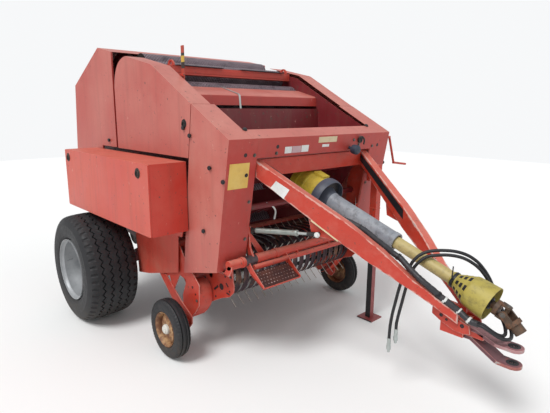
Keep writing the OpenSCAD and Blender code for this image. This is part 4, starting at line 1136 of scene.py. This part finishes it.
def tongueShape(line, flat):
    # a bent bar from the head to its flat end, where the eye is a ring round the pin's hole
    line = np.asarray(line, float)
    step = unit(np.diff(line, axis=0))
    normal = np.stack([-step[:, 1], step[:, 0]], -1)
    normal = np.vstack([normal[0], unit(normal[:-1] + normal[1:]), normal[-1]])
    turnOf = np.ones(len(line))
    turnOf[1:-1] = np.sum(normal[1:-1] * np.stack([-step[1:, 1], step[1:, 0]], -1), 1)
    lower = line + normal * (tongue["thick"] / turnOf)[:, None]
    bar = wornPlate(np.vstack([line, lower[::-1]]), -tongue["half"], tongue["half"], 0.007)
    sides, wide, bore = tongue["sides"], tongue["half"], tongue["bore"]
    u = anglesRound(sides)
    s, c = np.sin(u), np.cos(u)
    reach = np.where(c <= 0, wide, np.minimum(wide / np.maximum(np.abs(s), 1e-6), flat / np.maximum(c, 1e-6)))
    top = line[-1, 1]
    under = top - tongue["thick"]
    rings = [(bore, under, 1), (reach - 0.006, under, 0.2), (reach, top - 0.018, 1), (reach, top - 0.002, 1),
             (reach - 0.006, top, 0.2), (tongue["ringed"], top, 0.8), (bore, top - 0.002, 1)]
    eye = [np.stack([r * s, hitchPin + r * c, np.full(sides, z), np.full(sides, worn)], -1)
           for r, z, worn in rings]
    return merge([bar, (np.concatenate(eye), closedGrid(len(eye), sides))])


lowTongue = tongueShape([(-2.47, 0.49), (-2.634, 0.49), (-2.775, tongue["low"])], 0.067)
highTongue = tongueShape([(-2.47, 0.54), (-2.655, 0.54), (-2.76, tongue["high"])], 0.08)
makePiece("lowerTongue", lowTongue, mauveDark, bevel=0.002)
makePiece("upperTongue", highTongue, mauvePale, bevel=0.002)
boreLine = [(0.0165, -0.0195), (0.0165, 0.0004), (0.029, 0.0012), (0.03, 0.0002), (0.0168, -0.001),
            (0.0168, -0.0195)]
bores = [turned(boreLine, (0, hitchPin, z), alongZ, 40) for z in (tongue["low"], tongue["high"])]
makePiece("tongueBores", merge(bores), hoseBlack)
print("drawbar made")


# drive shaft: bell, ring, guard tube, sliding tube, cone and joint

shaft = {"start": (0.0, -1.331, 1.163), "tilt": 19.3, "joint": 1.53}


def onShaft(shape):
    return along(shaft["start"], shape, shaft["tilt"])


def turnedZ(profile, sides=64, loop=True):
    return turned(profile, (0, 0, 0), alongZ, sides, loop=loop)


bell = turnedZ([(0.034, 0.0), (0.104, 0.0), (0.108, 0.004), (0.1095, 0.04), (0.1125, 0.044), (0.1125, 0.06),
                (0.11, 0.064), (0.1125, 0.11), (0.1155, 0.114), (0.1155, 0.13), (0.113, 0.134),
                (0.1195, 0.246), (0.1155, 0.246), (0.104, 0.008), (0.034, 0.006)])
cap = block((-0.032, 0.1, 0.128), (0.032, 0.1275, 0.216))
slats = [block((-0.028, 0.127, d), (0.028, 0.1295, d + 0.006)) for d in (0.14, 0.156, 0.172, 0.188)]
makePiece("bell", onShaft(bell), guardYellow, replaces=["gearbox_bell"], bevel=0.0015)
makePiece("bellCap", onShaft(merge([cap] + slats)), guardYellow, bevel=0.003)
ring = turnedZ([(0.121, 0.228), (0.1235, 0.23), (0.1275, 0.246), (0.1285, 0.262), (0.1265, 0.284),
                (0.1225, 0.296), (0.1185, 0.2965), (0.1175, 0.288), (0.1195, 0.262), (0.1175, 0.246),
                (0.1165, 0.232)], 72)
makePiece("bellRing", onShaft(ring), ringGrey)
flare = turnedZ([(0.0945, 0.205), (0.098, 0.2), (0.0985, 0.206), (0.086, 0.235), (0.07, 0.275),
                 (0.06, 0.305), (0.0545, 0.325), (0.056, 0.3), (0.082, 0.235)])
makePiece("tubeFlare", onShaft(flare), ringGrey)
inside = turnedZ([(0.1172, 0.229), (0.06, 0.262), (0.0585, 0.268), (0.1172, 0.262)])
makePiece("bellInside", onShaft(inside), hoseBlack)
guard = turnedZ([(0.0545, 0.318), (0.056, 0.32), (0.0545, 0.332), (0.0525, 0.345), (0.052, 0.4),
                 (0.052, 0.818), (0.0545, 0.82), (0.0545, 0.846), (0.0525, 0.85), (0.0425, 0.85),
                 (0.0425, 0.318)])
makePiece("guardTube", onShaft(guard), guardGrey, replaces=["shaft_guard"])
core = turnedZ(corners((0.0001, 0.0), (0.02, 1.0)), 32, loop=False)
fork = [block((x, -0.018, 0.055), (x + 0.01, 0.018, 0.14)) for x in (-0.036, 0.026)]
makePiece("shaftCore", onShaft(merge([core] + fork)), darkSteel, bevel=0.001)

slide = turnedZ(corners((0.0205, 0.33), (0.036, 1.226)), 48)
makePiece("slideTube", onShaft(slide), guardOlive, "shaft_slide", ["shaft_inner"], bevel=0.001)


def coneShape():
    # rows of (radius, distance); in the rows of slotRows, half of each stretch round the cone is a dark slot
    q = np.array([(0.0365, 1.222), (0.041, 1.224), (0.0425, 1.23), (0.0425, 1.252), (0.044, 1.256),
                  (0.0475, 1.262), (0.0565, 1.278), (0.059, 1.281), (0.06, 1.287), (0.0685, 1.303),
                  (0.071, 1.306), (0.0722, 1.313), (0.081, 1.329), (0.0845, 1.333), (0.0862, 1.34),
                  (0.0872, 1.344), (0.0905, 1.39), (0.0925, 1.42), (0.0942, 1.45), (0.095, 1.4555),
                  (0.0945, 1.458), (0.0915, 1.458), (0.0905, 1.452), (0.085, 1.38), (0.0815, 1.344),
                  (0.076, 1.336), (0.0405, 1.264), (0.035, 1.262)])
    sides, stretch, slotRows = 96, 12, (5, 8, 11)
    u = anglesRound(sides)
    inSlot = np.abs(np.arange(sides) % stretch - 5.5) < 3
    radius = np.tile(q[:, :1], (1, sides))
    looks = np.zeros((len(q), sides), int)
    for row in slotRows:
        looks[row, inSlot] = 1
    points = np.stack([radius * np.cos(u), radius * np.sin(u), np.tile(q[:, 1:], (1, sides))], -1)
    return (points.reshape(-1, 3), closedGrid(len(q), sides)), looks.ravel()


cone, coneLooks = coneShape()
makePiece("cone", onShaft(cone), [coneYellow, hoseBlack], "shaft_slide", looks=coneLooks)
clamp = turnedZ([(0.0365, 1.2325), (0.0445, 1.2325), (0.0452, 1.236), (0.0452, 1.246), (0.0445, 1.2495),
                 (0.0365, 1.2495)])
lever = tube(smoothLine([(-0.04, 0.012, 1.241), (-0.052, 0.03, 1.238), (-0.05, 0.06, 1.228),
                         (-0.04, 0.084, 1.216)], 16), 0.0035, 8)
lugs = block((-0.056, -0.006, 1.234), (-0.043, 0.018, 1.248))
makePiece("clamp", onShaft(merge([clamp, lever, lugs])), hoseBlack, "shaft_slide", bevel=0.0008)
mouth = turnedZ([(0.0215, 1.3), (0.034, 1.3), (0.034, 1.452), (0.028, 1.456), (0.0215, 1.456)], 32)
makePiece("coneSleeve", onShaft(mouth), bootBlack, "shaft_slide", slot="machine_dark")

# bearing caps on the joint
caps = [turned([(0.0001, 0.0035), (0.0085, 0.0035), (0.0095, 0.002), (0.0135, 0.002), (0.0145, 0.0),
                (0.0001, 0.0)], np.array(axis) * 0.0412 + [0, 0, shaft["joint"]], axis, 24)
        for axis in ((1, 0, 0), (-1, 0, 0), (0, 1, 0), (0, -1, 0))]
makePiece("jointCaps", onShaft(merge(caps)), boltSteel, "shaft_spin", slot="machine_dark")
print("drive shaft made")


# front frame: posts, beams, tubes, brackets and straps

front = {"postIn": 0.64, "postOut": 0.722, "wall": 0.606, "cross": (-1.445, 0.722), "crossRadius": 0.03,
         "lower": (-1.48, 0.682), "lowerRadius": 0.017, "lowerHalf": 0.55, "bracket": 0.53}


def frontFrame():
    # left half, from the outlines of its plates in y and height, and mirrored
    c, x = np.array(front["cross"]), front["bracket"]
    post = wornPlate([(-1.38, 0.72), (-1.24, 0.72), (-1.24, 1.06), (-1.33, 1.44), (-1.5, 1.44)],
                     front["postIn"], front["postOut"])
    arm = wornPlate([(-1.47, 1.3), (-1.1, 1.3), (-1.1, 1.38), (-1.47, 1.4)], front["wall"], front["postIn"])
    tab = block((0.721, -1.44, 1.3), (0.765, -1.38, 1.31))
    lug = wornPlate(corners((-1.423, 0.88), (-1.4, 0.93)), x, front["postIn"], 0.006)
    bracket = wornPlate([c + [-0.024, 0.014], c + [-0.02, -0.014], c + [0.02, -0.014], (-1.4, 0.8),
                         (-1.4, 0.93), (-1.423, 0.93), (-1.432, 0.8)], x, x + 0.012, 0.006)
    foot = wornPlate([(-1.3, 0.73), (-1.3, 0.655), c + [-0.004, -0.067], c + [-0.033, -0.022],
                      c + [-0.033, 0.0], c, c + [0.02, -0.022], (-1.399, 0.664), (-1.38, 0.668),
                      (-1.38, 0.73)], 0.71, front["postOut"], 0.006)
    strap = wornPlate([(0.534, 0.863), (0.534, 0.914), (0.4, 0.744), (0.38, 0.717), (0.43, 0.717)], -1.401,
                      -1.389, 0.005, (0, 2, 1))
    seat = block((0.38, -1.445, 0.717), (0.43, -1.389, 0.727))
    return merge([post, arm, tab, lug, bracket, foot, strap, seat])


crossBeam = wornPlate(corners((-1.48, 1.245), (-1.432, 1.35)), -0.641, 0.641)
makePiece("frontFrame", merge([both(frontFrame()), crossBeam]), paintWorn, replaces=["front_frame"],
          bevel=0.002)
crossTube = crossBar(front["postOut"], *front["cross"], 13, front["crossRadius"], 36)
lowerTube = crossBar(front["lowerHalf"], *front["lower"], 11, front["lowerRadius"], 28)
links = [plate([(-1.465, 0.732), (-1.49, 0.69), (-1.466, 0.678), (-1.425, 0.712)], x - 0.005, x + 0.005)
         for x in (-0.16, 0.16)]
makePiece("frontTubes", merge([crossTube, lowerTube]), paintFrame, bevel=0.002)
makePiece("tubeLinks", merge(links), paintFrame, bevel=0.002)

collars = [turned([(0.0295, 0), (r, 0.001), (r, wide - 0.001), (0.0295, wide)], (x, *front["cross"]), alongX,
                  36) for x, wide, r in ((-0.628, 0.02, 0.034), (-0.35, 0.03, 0.0335), (-0.5, 0.012, 0.0325),
                                         (0.35, 0.03, 0.0335))]
makePiece("tubeCollars", merge(collars), paintFrame)
worn = turned([(0.0301, 0), (0.0304, 0.004), (0.0304, 0.086), (0.0301, 0.09)], (-0.6, *front["cross"]),
              alongX, 36)
makePiece("tubeWorn", worn, wornGrey)

strut = {"barrelSide": np.array([-0.516, -1.419, 0.905]), "rodSide": np.array([-0.3913, -1.8603, 0.945]),
         "rod": 0.009, "barrelEnd": 0.0138, "rodEnd": 0.013, "eye": (0.4, 0.945)}


def onStrut(*parts):
    # points on the line from the bracket to the drawbar, by their part of its length
    return [strut["barrelSide"] + f * (strut["rodSide"] - strut["barrelSide"]) for f in parts]


barrel = turned([(0.0001, 0.034), (0.016, 0.034), (0.0185, 0.037), (0.0185, 0.048), (0.0165, 0.052),
                 (0.0165, 0.312), (0.019, 0.315), (0.019, 0.326), (0.0165, 0.33), (0.0095, 0.331)],
                strut["barrelSide"], strut["rodSide"] - strut["barrelSide"], 36)
makePiece("strutBarrel", barrel, strutGrey, replaces=["strut"])
makePiece("strutRod", tube(onStrut(0.7, 0.8, 0.93), strut["rod"], 20), zincSteel)
ends = [tube(onStrut(-0.01, 0.095), strut["barrelEnd"], 20),
        block((-0.5296, -1.428, 0.885), (-0.506, -1.41, 0.921)),
        tube(onStrut(0.855, 0.955), strut["rodEnd"], 20)]
eyeRing = turned([(0.0122, -0.037), (0.0122, -0.015), (0.0225, -0.015), (0.024, -0.017), (0.024, -0.035),
                  (0.0225, -0.037)], (0, 0, 0), alongX, 36, loop=True)
ends.append(mirrored(inBeam((eyeRing[0] * [-1, 1, 1] + [0, *strut["eye"]], eyeRing[1]))))
makePiece("strutEnds", merge(ends), darkSteel, bevel=0.001)
makePiece("strutBolt", atPlaces(hexBolt(0.016, (-0.926, -0.377, 0)), [pinOuter]), plateWhite,
          slot="plated_steel")


# step of tread plate

step = {"top": (-1.488, 0.652), "foot": (-1.604, 0.584), "left": -0.262, "right": -0.58, "plate": 0.004,
        "pitch": 0.024, "dimple": 0.013 * 0.62, "squash": 0.75, "rise": 0.003, "border": 0.006}


def stepShape():
    # the plate with rows of raised dimples: height = rise (1 - (d / r)^2) round each centre, where d is the
    # distance from it with the part down the plate divided by squash; every other row is shifted by half
    rows, cols = 60, 124
    run = np.linspace(0, 1, rows)
    x = np.linspace(step["left"], step["right"], cols)
    top, foot = np.array(step["top"]), np.array(step["foot"])
    length = np.linalg.norm(foot - top)
    d = run * length
    pitch = step["pitch"]
    rowOf = np.floor(d / pitch)
    dx = np.abs((x[None] / pitch + 0.5 * (rowOf[:, None] % 2)) % 1.0 - 0.5) * pitch
    dd = np.abs((d / pitch) % 1.0 - 0.5)[:, None] * pitch
    bump = np.clip(1 - (np.hypot(dx, dd / step["squash"]) / step["dimple"]) ** 2, 0, 1)
    edge = np.minimum(np.minimum(d, length - d)[:, None], np.minimum(x.max() - x, x - x.min())[None])
    bump = bump * (edge > step["border"])
    normal = np.array([-(foot - top)[1], (foot - top)[0]]) / length
    normal = normal * np.sign(normal[1])
    line = top + run[:, None] * (foot - top)
    upper = line[:, None] + normal * (bump * step["rise"])[..., None]
    lower = np.broadcast_to((line - normal * step["plate"])[:, None], upper.shape)
    across = np.broadcast_to(x[None, :, None], (rows, cols, 1))
    sheets = [np.concatenate([across, sheet, worn[..., None]], -1).reshape(-1, 4)
              for sheet, worn in ((upper, bump), (lower, bump * 0))]
    faces = gridFaces(rows, cols)
    n = rows * cols
    ring = np.concatenate([np.arange(cols), np.arange(1, rows) * cols + cols - 1,
                           n - 2 - np.arange(cols - 1), (np.arange(rows - 2, 0, -1)) * cols])
    wall = [[int(a), int(b), int(b) + n, int(a) + n] for a, b in zip(ring, np.roll(ring, -1))]
    return np.vstack(sheets), faces.tolist() + (faces[:, ::-1] + n).tolist() + wall


makePiece("stepPlate", stepShape(), treadRust, replaces=["step"], angle=50)
hanger = [(-1.473, 0.718), (-1.433, 0.696), (-1.478, 0.646), (-1.602, 0.578), (-1.612, 0.596),
          (-1.506, 0.682)]
hangers = [wornPlate(hanger, x - 0.004, x, 0.006) for x in (-0.262, -0.576)]
lip = swept([(-0.262, -1.604, 0.584), (-0.58, -1.604, 0.584)], corners((-0.004, -0.003), (0.003, 0.004)),
            alongZ)
makePiece("stepHangers", merge(hangers + [lip]), paintWorn, bevel=0.001)
bolt = hexBolt(0.009, (-1, 0, 0))
makePiece("bracketBolts", atPlaces(bolt, [(-0.722, -1.36, 0.7), (-0.722, -1.325, 0.7),
                                          (-0.542, -1.41, 0.86)]), boltSteel)


# jack: its bands and pin; and the white pipe

jack = {"x": 0.612, "y": -1.545, "band": 0.03, "thick": 0.012, "bands": (0.522, 0.9), "pin": 0.04,
        "pinUp": 0.7}
x, y, b = jack["x"], jack["y"], jack["band"]
bands = [block((x - b, y - b, z), (x + b, y + b, z + jack["thick"])) for z in jack["bands"]]
jackPin = tube([(x + side * jack["pin"], y, jack["pinUp"]) for side in (-1, 1)], 0.007, 14)
makePiece("jackBands", merge(bands + [jackPin]), paintFrame, bevel=0.002)
pipe = smoothLine([(-0.29, -1.3, 1.03), (-0.24, -1.3, 1.005), (-0.205, -1.3, 0.965), (-0.215, -1.3, 0.905)],
                  30)
makePiece("whitePipe", tube(pipe, 0.0065, 12), plateWhite)
print("front details made")


# pick-up: side plates, outer brackets, gauge arms, bands and tines

pickup = {"half": 0.632, "plate": 0.006, "bracketIn": 0.736, "bracketOut": 0.742, "reel": (-1.13, 0.56),
          "pitch": 0.066, "count": 9, "bandReach": 0.17, "bandHalf": 0.022, "bar": 0.105, "coil": 0.0175,
          "tine": 0.155, "barHalf": 0.61, "thick": 0.0015}
sideLine = [(-1.362, 0.69), (-1.37, 0.64), (-1.372, 0.58), (-1.384, 0.545), (-1.378, 0.505), (-1.328, 0.457),
            (-1.25, 0.43), (-1.108, 0.353), (-0.978, 0.243), (-0.93, 0.26), (-0.62, 0.62), (-0.62, 0.74),
            (-0.8, 0.78), (-1.0, 0.78)]
bracketLine = [(-1.154, 0.516), (-1.146, 0.371), (-1.099, 0.312), (-1.045, 0.258), (-0.985, 0.225),
               (-0.945, 0.3), (-0.943, 0.388), (-0.985, 0.48), (-0.985, 0.51), (-0.911, 0.523),
               (-0.822, 0.379), (-0.77, 0.483), (-0.7, 0.44), (-0.64, 0.47), (-0.64, 0.6), (-0.8, 0.77),
               (-0.9, 0.77), (-1.04, 0.6), (-1.089, 0.573)]
armLine = [(-0.64, 0.47), (-0.8, 0.328), (-0.955, 0.236), (-0.96, 0.186), (-1.028, 0.176), (-1.06, 0.215),
           (-1.063, 0.266), (-0.94, 0.334), (-0.845, 0.401), (-0.733, 0.48)]
plateHoles = [(-1.247, 0.508, 0.02), (-1.335, 0.5, 0.007), (-1.179, 0.42, 0.007), (-1.29, 0.59, 0.007)]


def holeMark(x, y, z, r):
    # a dark cup with a raised rim, on a plate that faces +X
    return turned([(r * 1.12, 0.0), (r * 1.12, 0.0008), (r, 0.0012), (r * 0.97, 0.0002), (0.0001, 0.0002)],
                  (x, y, z), alongX, 24)


def slotMark(x, start, end, r):
    # a dark slot: two holes and the strip between them
    ends = [holeMark(x, *start, r), holeMark(x, *end, r)]
    a, b = np.array(start), np.array(end)
    side = np.array([-(b - a)[1], (b - a)[0]]) / np.linalg.norm(b - a) * r
    return merge(ends + [plate([a + side, b + side, b - side, a - side], x, x + 0.0009)])


plates = [wornPlate(softCorners(sideLine, 0.02, 4), pickup["half"] - pickup["plate"], pickup["half"], 0.007),
          wornPlate(bracketLine, pickup["bracketIn"], pickup["bracketOut"], 0.007)]
arm = wornPlate(armLine, 0.7415, 0.749, 0.006)
flange = swept([(0.745, y, z) for y, z in armLine[:3]], corners((-0.004, -0.003), (0.004, 0.03)),
               (0, -0.6, 0.8))
pins = [tube([(x, gauge["y"], gauge["radius"]) for x in (pickup["bracketOut"], 0.914)], 0.012, 24),
        block((0.742, -1.02, 0.182), (0.76, -0.962, 0.232))]
fenderLine = [(-0.985, 0.5), (-1.06, 0.52), (-1.12, 0.5), (-1.15, 0.44), (-1.146, 0.38), (-1.11, 0.322),
              (-1.05, 0.262), (-0.99, 0.228)]
fender = swept(smoothLine([(0.688, *place) for place in fenderLine], 40),
               corners((-0.049, -0.002), (0.049, 0.002)), alongX)
frameTube = crossBar(0.741, -0.86, 0.727, 15, 0.03, 32)
frameHalf = merge(plates + [arm, flange, fender] + pins)
makePiece("pickupFrame", both(frameHalf), paintWorn, "pickup", ["pickup_frame"], bevel=0.0015)
makePiece("pickupTube", frameTube, paintFrame, "pickup")
marks = [holeMark(pickup["half"], y, z, r) for y, z, r in plateHoles]
marks += [slotMark(pickup["half"], (-1.3, 0.545), (-1.318, 0.53), 0.005),
          slotMark(pickup["half"], (-1.305, 0.48), (-1.33, 0.478), 0.005),
          slotMark(pickup["half"], (-1.205, 0.498), (-1.17, 0.47), 0.007),
          holeMark(pickup["bracketOut"], -1.07, 0.48, 0.008),
          holeMark(pickup["bracketOut"], -1.105, 0.44, 0.006)]
makePiece("pickupHoles", both(merge(marks)), hoseBlack, "pickup")
spots = [(pickup["half"], -1.348, 0.65), (pickup["half"], -1.348, 0.6), (pickup["half"], -1.06, 0.52),
         (pickup["half"], -0.98, 0.42), (pickup["bracketOut"], -1.12, 0.4),
         (pickup["bracketOut"], -0.88, 0.64), (pickup["bracketOut"], -0.78, 0.7)]
heads = atPlaces(hexBolt(0.01, alongX), spots)
makePiece("pickupBolts", both(heads), boltSteel, "pickup")


def springShape(place, turns):
    # a coil spring standing along Z
    u = np.linspace(0, 2 * np.pi * turns, 16 * turns)
    path = np.stack([0.011 * np.cos(u), 0.011 * np.sin(u), u / (2 * np.pi) * 0.012], -1) + place
    return tube(path, 0.0022, 6, alongZ)


chain = tube(smoothLine([(0.7, -0.88, 0.64), (0.704, -0.9, 0.56), (0.712, -0.93, 0.5)], 20), 0.004, 8)
makePiece("pickupSprings", both(merge([springShape((0.7, -0.88, 0.64), 6), chain])), darkSteel, "pickup")


def bandsShape():
    # bent strips: over the reel from the plate on the tube, round its front and back under it
    r, w, t = pickup["bandReach"], pickup["bandHalf"], pickup["thick"]
    y, z = pickup["reel"]
    a = np.radians(np.concatenate([[90], np.linspace(90, 235, 40)[1:]]))
    path = np.zeros((41, 3))
    path[0] = (0, -0.95, z + r - t)
    path[1:, 1] = y + (r - t) * np.cos(a)
    path[1:, 2] = z + (r - t) * np.sin(a)
    profile = [(-w, t), (-w * 0.55, t), (-w * 0.45, -0.0025), (w * 0.45, -0.0025), (w * 0.55, t), (w, t),
               (w, -t), (w * 0.58, -t), (w * 0.48, -0.0055), (-w * 0.48, -0.0055), (-w * 0.58, -t), (-w, -t)]
    strip = swept(path, profile, alongX)
    places = [(i * pickup["pitch"], 0, 0) for i in range(-pickup["count"], pickup["count"] + 1)]
    half = pickup["count"] * pickup["pitch"] + w
    top = plate(corners((-0.95, z + r - 0.006), (-0.8905, z + r)), -half, half)
    return merge([atPlaces(strip, places), top])


makePiece("bands", bandsShape(), bandSteel, "pickup", ["pickup_bands"])


def reelShape():
    # shaft, discs and tine bars; each tine starts in a two-turn coil on its bar and leans back at the tip
    y, z = pickup["reel"]
    half, barHalf = pickup["half"], pickup["barHalf"]
    places = [((i + 0.5) * pickup["pitch"], 0, 0) for i in range(-pickup["count"], pickup["count"])]
    disc = corners((0.02, -0.003), (0.13, 0.003))
    parts = [tube([(-half, y, z), (half, y, z)], 0.02, 24)]
    parts += [turned(disc, (x, y, z), alongX, 40) for x in (-barHalf, 0.0, barHalf)]
    tines = []
    for k in range(4):
        a = np.radians(k * 90 + 50)
        out, back = np.array([0, -np.sin(a), np.cos(a)]), np.array([0, -np.cos(a), -np.sin(a)])
        centre = np.array([0, y, z]) + pickup["bar"] * out
        parts.append(tube([centre - barHalf * alongX, centre + barHalf * alongX], 0.014, 16))
        r, v = pickup["coil"], np.linspace(0, 4 * np.pi, 25)[:, None]
        coil = centre + r * (out * np.sin(v) + back * np.cos(v)) + (v / (4 * np.pi) * 0.014 - 0.007) * alongX
        f = np.array([0.15, 0.4, 0.7, 1.0])[:, None]
        run = centre + [0.007, 0, 0] + back * (r - r * f ** 2) + out * (pickup["tine"] * f)
        tine = tube(np.concatenate([coil, run]), 0.0028, 6, (0.3, 0.2, 0.9))
        tines.append(atPlaces(tine, places))
    return merge(parts), merge(tines)


drum, tines = reelShape()
makePiece("reelDrum", drum, darkSteel, "reel", ["pickup_reel"])
makePiece("reelTines", tines, tineSteel, "reel")
print("pick-up made")


# roof: press rollers, beam with lifting eyes, bale post and covers

chamber = {"half": 0.6, "centre": (-0.1, 1.27), "ring": 0.7, "roller": 0.092, "end": 0.594, "cell": 0.024,
           "cells": 24}


def rollerAxes(angles):
    (y, z), r = chamber["centre"], chamber["ring"]
    return [(y + r * np.cos(a), z + r * np.sin(a)) for a in np.radians(angles)]


def rollerShape(angles):
    # open tubes; the UV map counts the net's cells along and round them
    shapes, maps = [], []
    sides, cols = 72, 3
    for y, z in rollerAxes(angles):
        u = np.linspace(0, 2 * np.pi, sides + 1)
        x = np.linspace(-chamber["end"], chamber["end"], cols)
        ring = np.stack([np.cos(u), np.sin(u)], -1) * chamber["roller"]
        points = np.concatenate([np.broadcast_to(x[:, None, None], (cols, sides + 1, 1)),
                                 np.broadcast_to(ring + [y, z], (cols, sides + 1, 2))], -1).reshape(-1, 3)
        shapes.append((points, gridFaces(cols, sides + 1)[:, ::-1].tolist()))
        maps.append(np.stack(np.meshgrid(x / chamber["cell"], u / (2 * np.pi) * chamber["cells"],
                                         indexing="ij"), -1).reshape(-1, 2))
    return merge(shapes), np.concatenate(maps)


def rollerEnds(angles):
    h, e = chamber["half"], chamber["end"]
    profile = [(0.0001, h), (0.022, h), (0.022, e), (0.04, e - 0.004), (0.08, e - 0.004), (0.0905, e)]
    return merge([turned(profile, (0, y, z), (side, 0, 0), 40) for y, z in rollerAxes(angles)
                  for side in (1, -1)])


rollerSets = (
    ("frontRollers", (99, 118, 137, 156, 175, 194, 256), "chassis", "press_rollers_front"),
    ("tailRollers", range(-76, 77, 19), "tailgate", "tailgate_rollers"),
)
for name, angles, body, node in rollerSets:
    shape, uv = rollerShape(angles)
    makePiece(name, shape, roller, body, [node], uv=uv)
    makePiece(name + "Ends", rollerEnds(angles), darkSteel, body)


liftEye = {"y": -0.565, "base": 1.945, "radius": 0.042, "hole": 0.0155, "holeUp": 0.016, "thick": 0.006,
           "sides": 50}


def eyeShape(x):
    # a half disc of plate with a hole, standing on the beam
    e = liftEye
    u = anglesRound(e["sides"])
    rim = np.stack([np.cos(u), np.sin(u)], -1)
    hole = np.array([e["y"], e["base"] + e["holeUp"]]) + rim * e["hole"]
    border = np.array([e["y"], e["base"]]) + rim * e["radius"]
    border[:, 1] = np.maximum(border[:, 1], e["base"] - 0.002)
    rings = [(hole, -1), (border, -1), (border, 1), (hole, 1)]
    points = np.concatenate([np.column_stack([np.full(len(u), x + side * e["thick"]), ring])
                             for ring, side in rings])
    return points, closedGrid(4, len(u))


roofBeam = wornPlate(corners((-0.6, 1.885), (-0.53, 1.945)), -0.6, 0.6, 0.007)
ridge = block((-0.56, -0.604, 1.9), (0.56, -0.6, 1.93))
eyes = [eyeShape(x) for x in (-0.54, 0.56)]
makePiece("roofBeam", merge([roofBeam, ridge] + eyes), paintWorn, replaces=["roof_beam"], bevel=0.0025)


def postMaterial():
    # red and yellow stretches with a black one between, by height
    n = Nodes("postStripes")
    height = n.height()
    cloud = n.noise(40.0, 8.0, 0.65)
    red, yellow, black = (0.42, 0.06, 0.035), (0.62, 0.42, 0.06), (0.03, 0.026, 0.024)
    colour = n.mix(n.span(height, 1.905, 1.906), red, black)
    colour = n.mix(n.span(height, 1.945, 1.946), colour, yellow)
    colour = n.mix(n.span(height, 1.985, 1.986), colour, black)
    colour = n.mix(n.span(height, 2.003, 2.004), colour, red)
    colour = n.mix(n.span(cloud, 0.58, 0.68, (0.0, 0.8)), colour, (0.16, 0.08, 0.05))
    return n.finish(colour, n.span(cloud, 0.3, 0.7, (0.4, 0.65)), normal=n.bump(cloud, 0.2, 0.001))


post = block((-0.6155, -0.85, 1.76), (-0.6065, -0.82, 2.05))
makePiece("balePost", post, postMaterial(), replaces=["bale_post"], bevel=0.002)
bracket = [block((-0.622, -0.864, 1.855), (-0.6155, -0.806, 1.872)),
           block((-0.622, -0.858, 1.79), (-0.6155, -0.812, 1.803))]
makePiece("postBracket", merge(bracket), paintFrame, bevel=0.001)

coverLine = np.array([(-0.711, 1.8), (-0.8, 1.7765), (-0.905, 1.7485), (-0.917, 1.738), (-0.92, 1.72),
                      (-0.925, 1.672)])
slope = np.gradient(coverLine, axis=0)
inward = unit(np.stack([-slope[:, 1], slope[:, 0]], -1))
rollerSheet = wornPlate(np.vstack([coverLine, (coverLine + inward * 0.004)[::-1]]), -0.5995, 0.5995, 0.0018)
makePiece("rollerCover", rollerSheet, paintUpper, replaces=["roller_cover"])
strapLine = [(-0.7, 1.803), *coverLine, (-0.93, 1.64)]
strap = swept([(-0.205, y, z + 0.0035) for y, z in strapLine], corners((-0.008, -0.0012), (0.008, 0.0012)),
              alongX)
makePiece("coverStrap", strap, zincSteel)
strips = [block((-0.52, -0.625, 1.9455), (-0.12, -0.545, 1.951)),
          block((0.06, -0.625, 1.9455), (0.52, -0.545, 1.951))]
makePiece("rubberStrips", merge(strips), bootBlack, bevel=0.002)
print("roof made")


# floor and light

studio = {"floor": (0.86, 0.86, 0.85), "size": 14.0, "world": 0.62, "soft": (0.96, 0.98, 1.0, 1),
          "white": (0.93, 0.94, 0.95, 1)}
suns = (("key", 2.2, 25, (0.7, 0.08, -1.0)), ("fill", 0.35, 60, (-0.5, 1.0, -0.45)))


def setStudio():
    # an even white sky, a little brighter where it is seen than where it lights, a pale floor and two suns
    scene = bpy.context.scene
    scene.view_settings.view_transform = "Standard"
    world = bpy.data.worlds.new("studio")
    scene.world = world
    world.use_nodes = True
    tree = world.node_tree
    tree.nodes.clear()
    out = tree.nodes.new("ShaderNodeOutputWorld")
    mix = tree.nodes.new("ShaderNodeMixShader")
    soft, white = tree.nodes.new("ShaderNodeBackground"), tree.nodes.new("ShaderNodeBackground")
    soft.inputs["Color"].default_value = studio["soft"]
    soft.inputs["Strength"].default_value = studio["world"]
    white.inputs["Color"].default_value = studio["white"]
    white.inputs["Strength"].default_value = 1.0
    rays = tree.nodes.new("ShaderNodeLightPath")
    shown = tree.nodes.new("ShaderNodeMath")
    shown.operation = "MAXIMUM"
    tree.links.new(rays.outputs["Is Camera Ray"], shown.inputs[0])
    tree.links.new(rays.outputs["Is Transmission Ray"], shown.inputs[1])
    tree.links.new(shown.outputs[0], mix.inputs[0])
    tree.links.new(soft.outputs[0], mix.inputs[1])
    tree.links.new(white.outputs[0], mix.inputs[2])
    tree.links.new(mix.outputs[0], out.inputs["Surface"])
    mesh = bpy.data.meshes.new("floor")
    s = studio["size"]
    mesh.from_pydata([(-s, -s, 0), (s, -s, 0), (s, s, 0), (-s, s, 0)], [], [(0, 1, 2, 3)])
    mesh.materials.append(Nodes("floorPale").finish(studio["floor"], 0.85))
    floor = bpy.data.objects.new("floor", mesh)
    scene.collection.objects.link(floor)
    for name, strength, angle, direction in suns:
        data = bpy.data.lights.new(name, "SUN")
        data.energy = strength
        data.angle = np.radians(angle)
        lamp = bpy.data.objects.new(name, data)
        scene.collection.objects.link(lamp)
        lamp.rotation_euler = Vector(direction).to_track_quat("-Z", "Y").to_euler()


setStudio()


# last lines
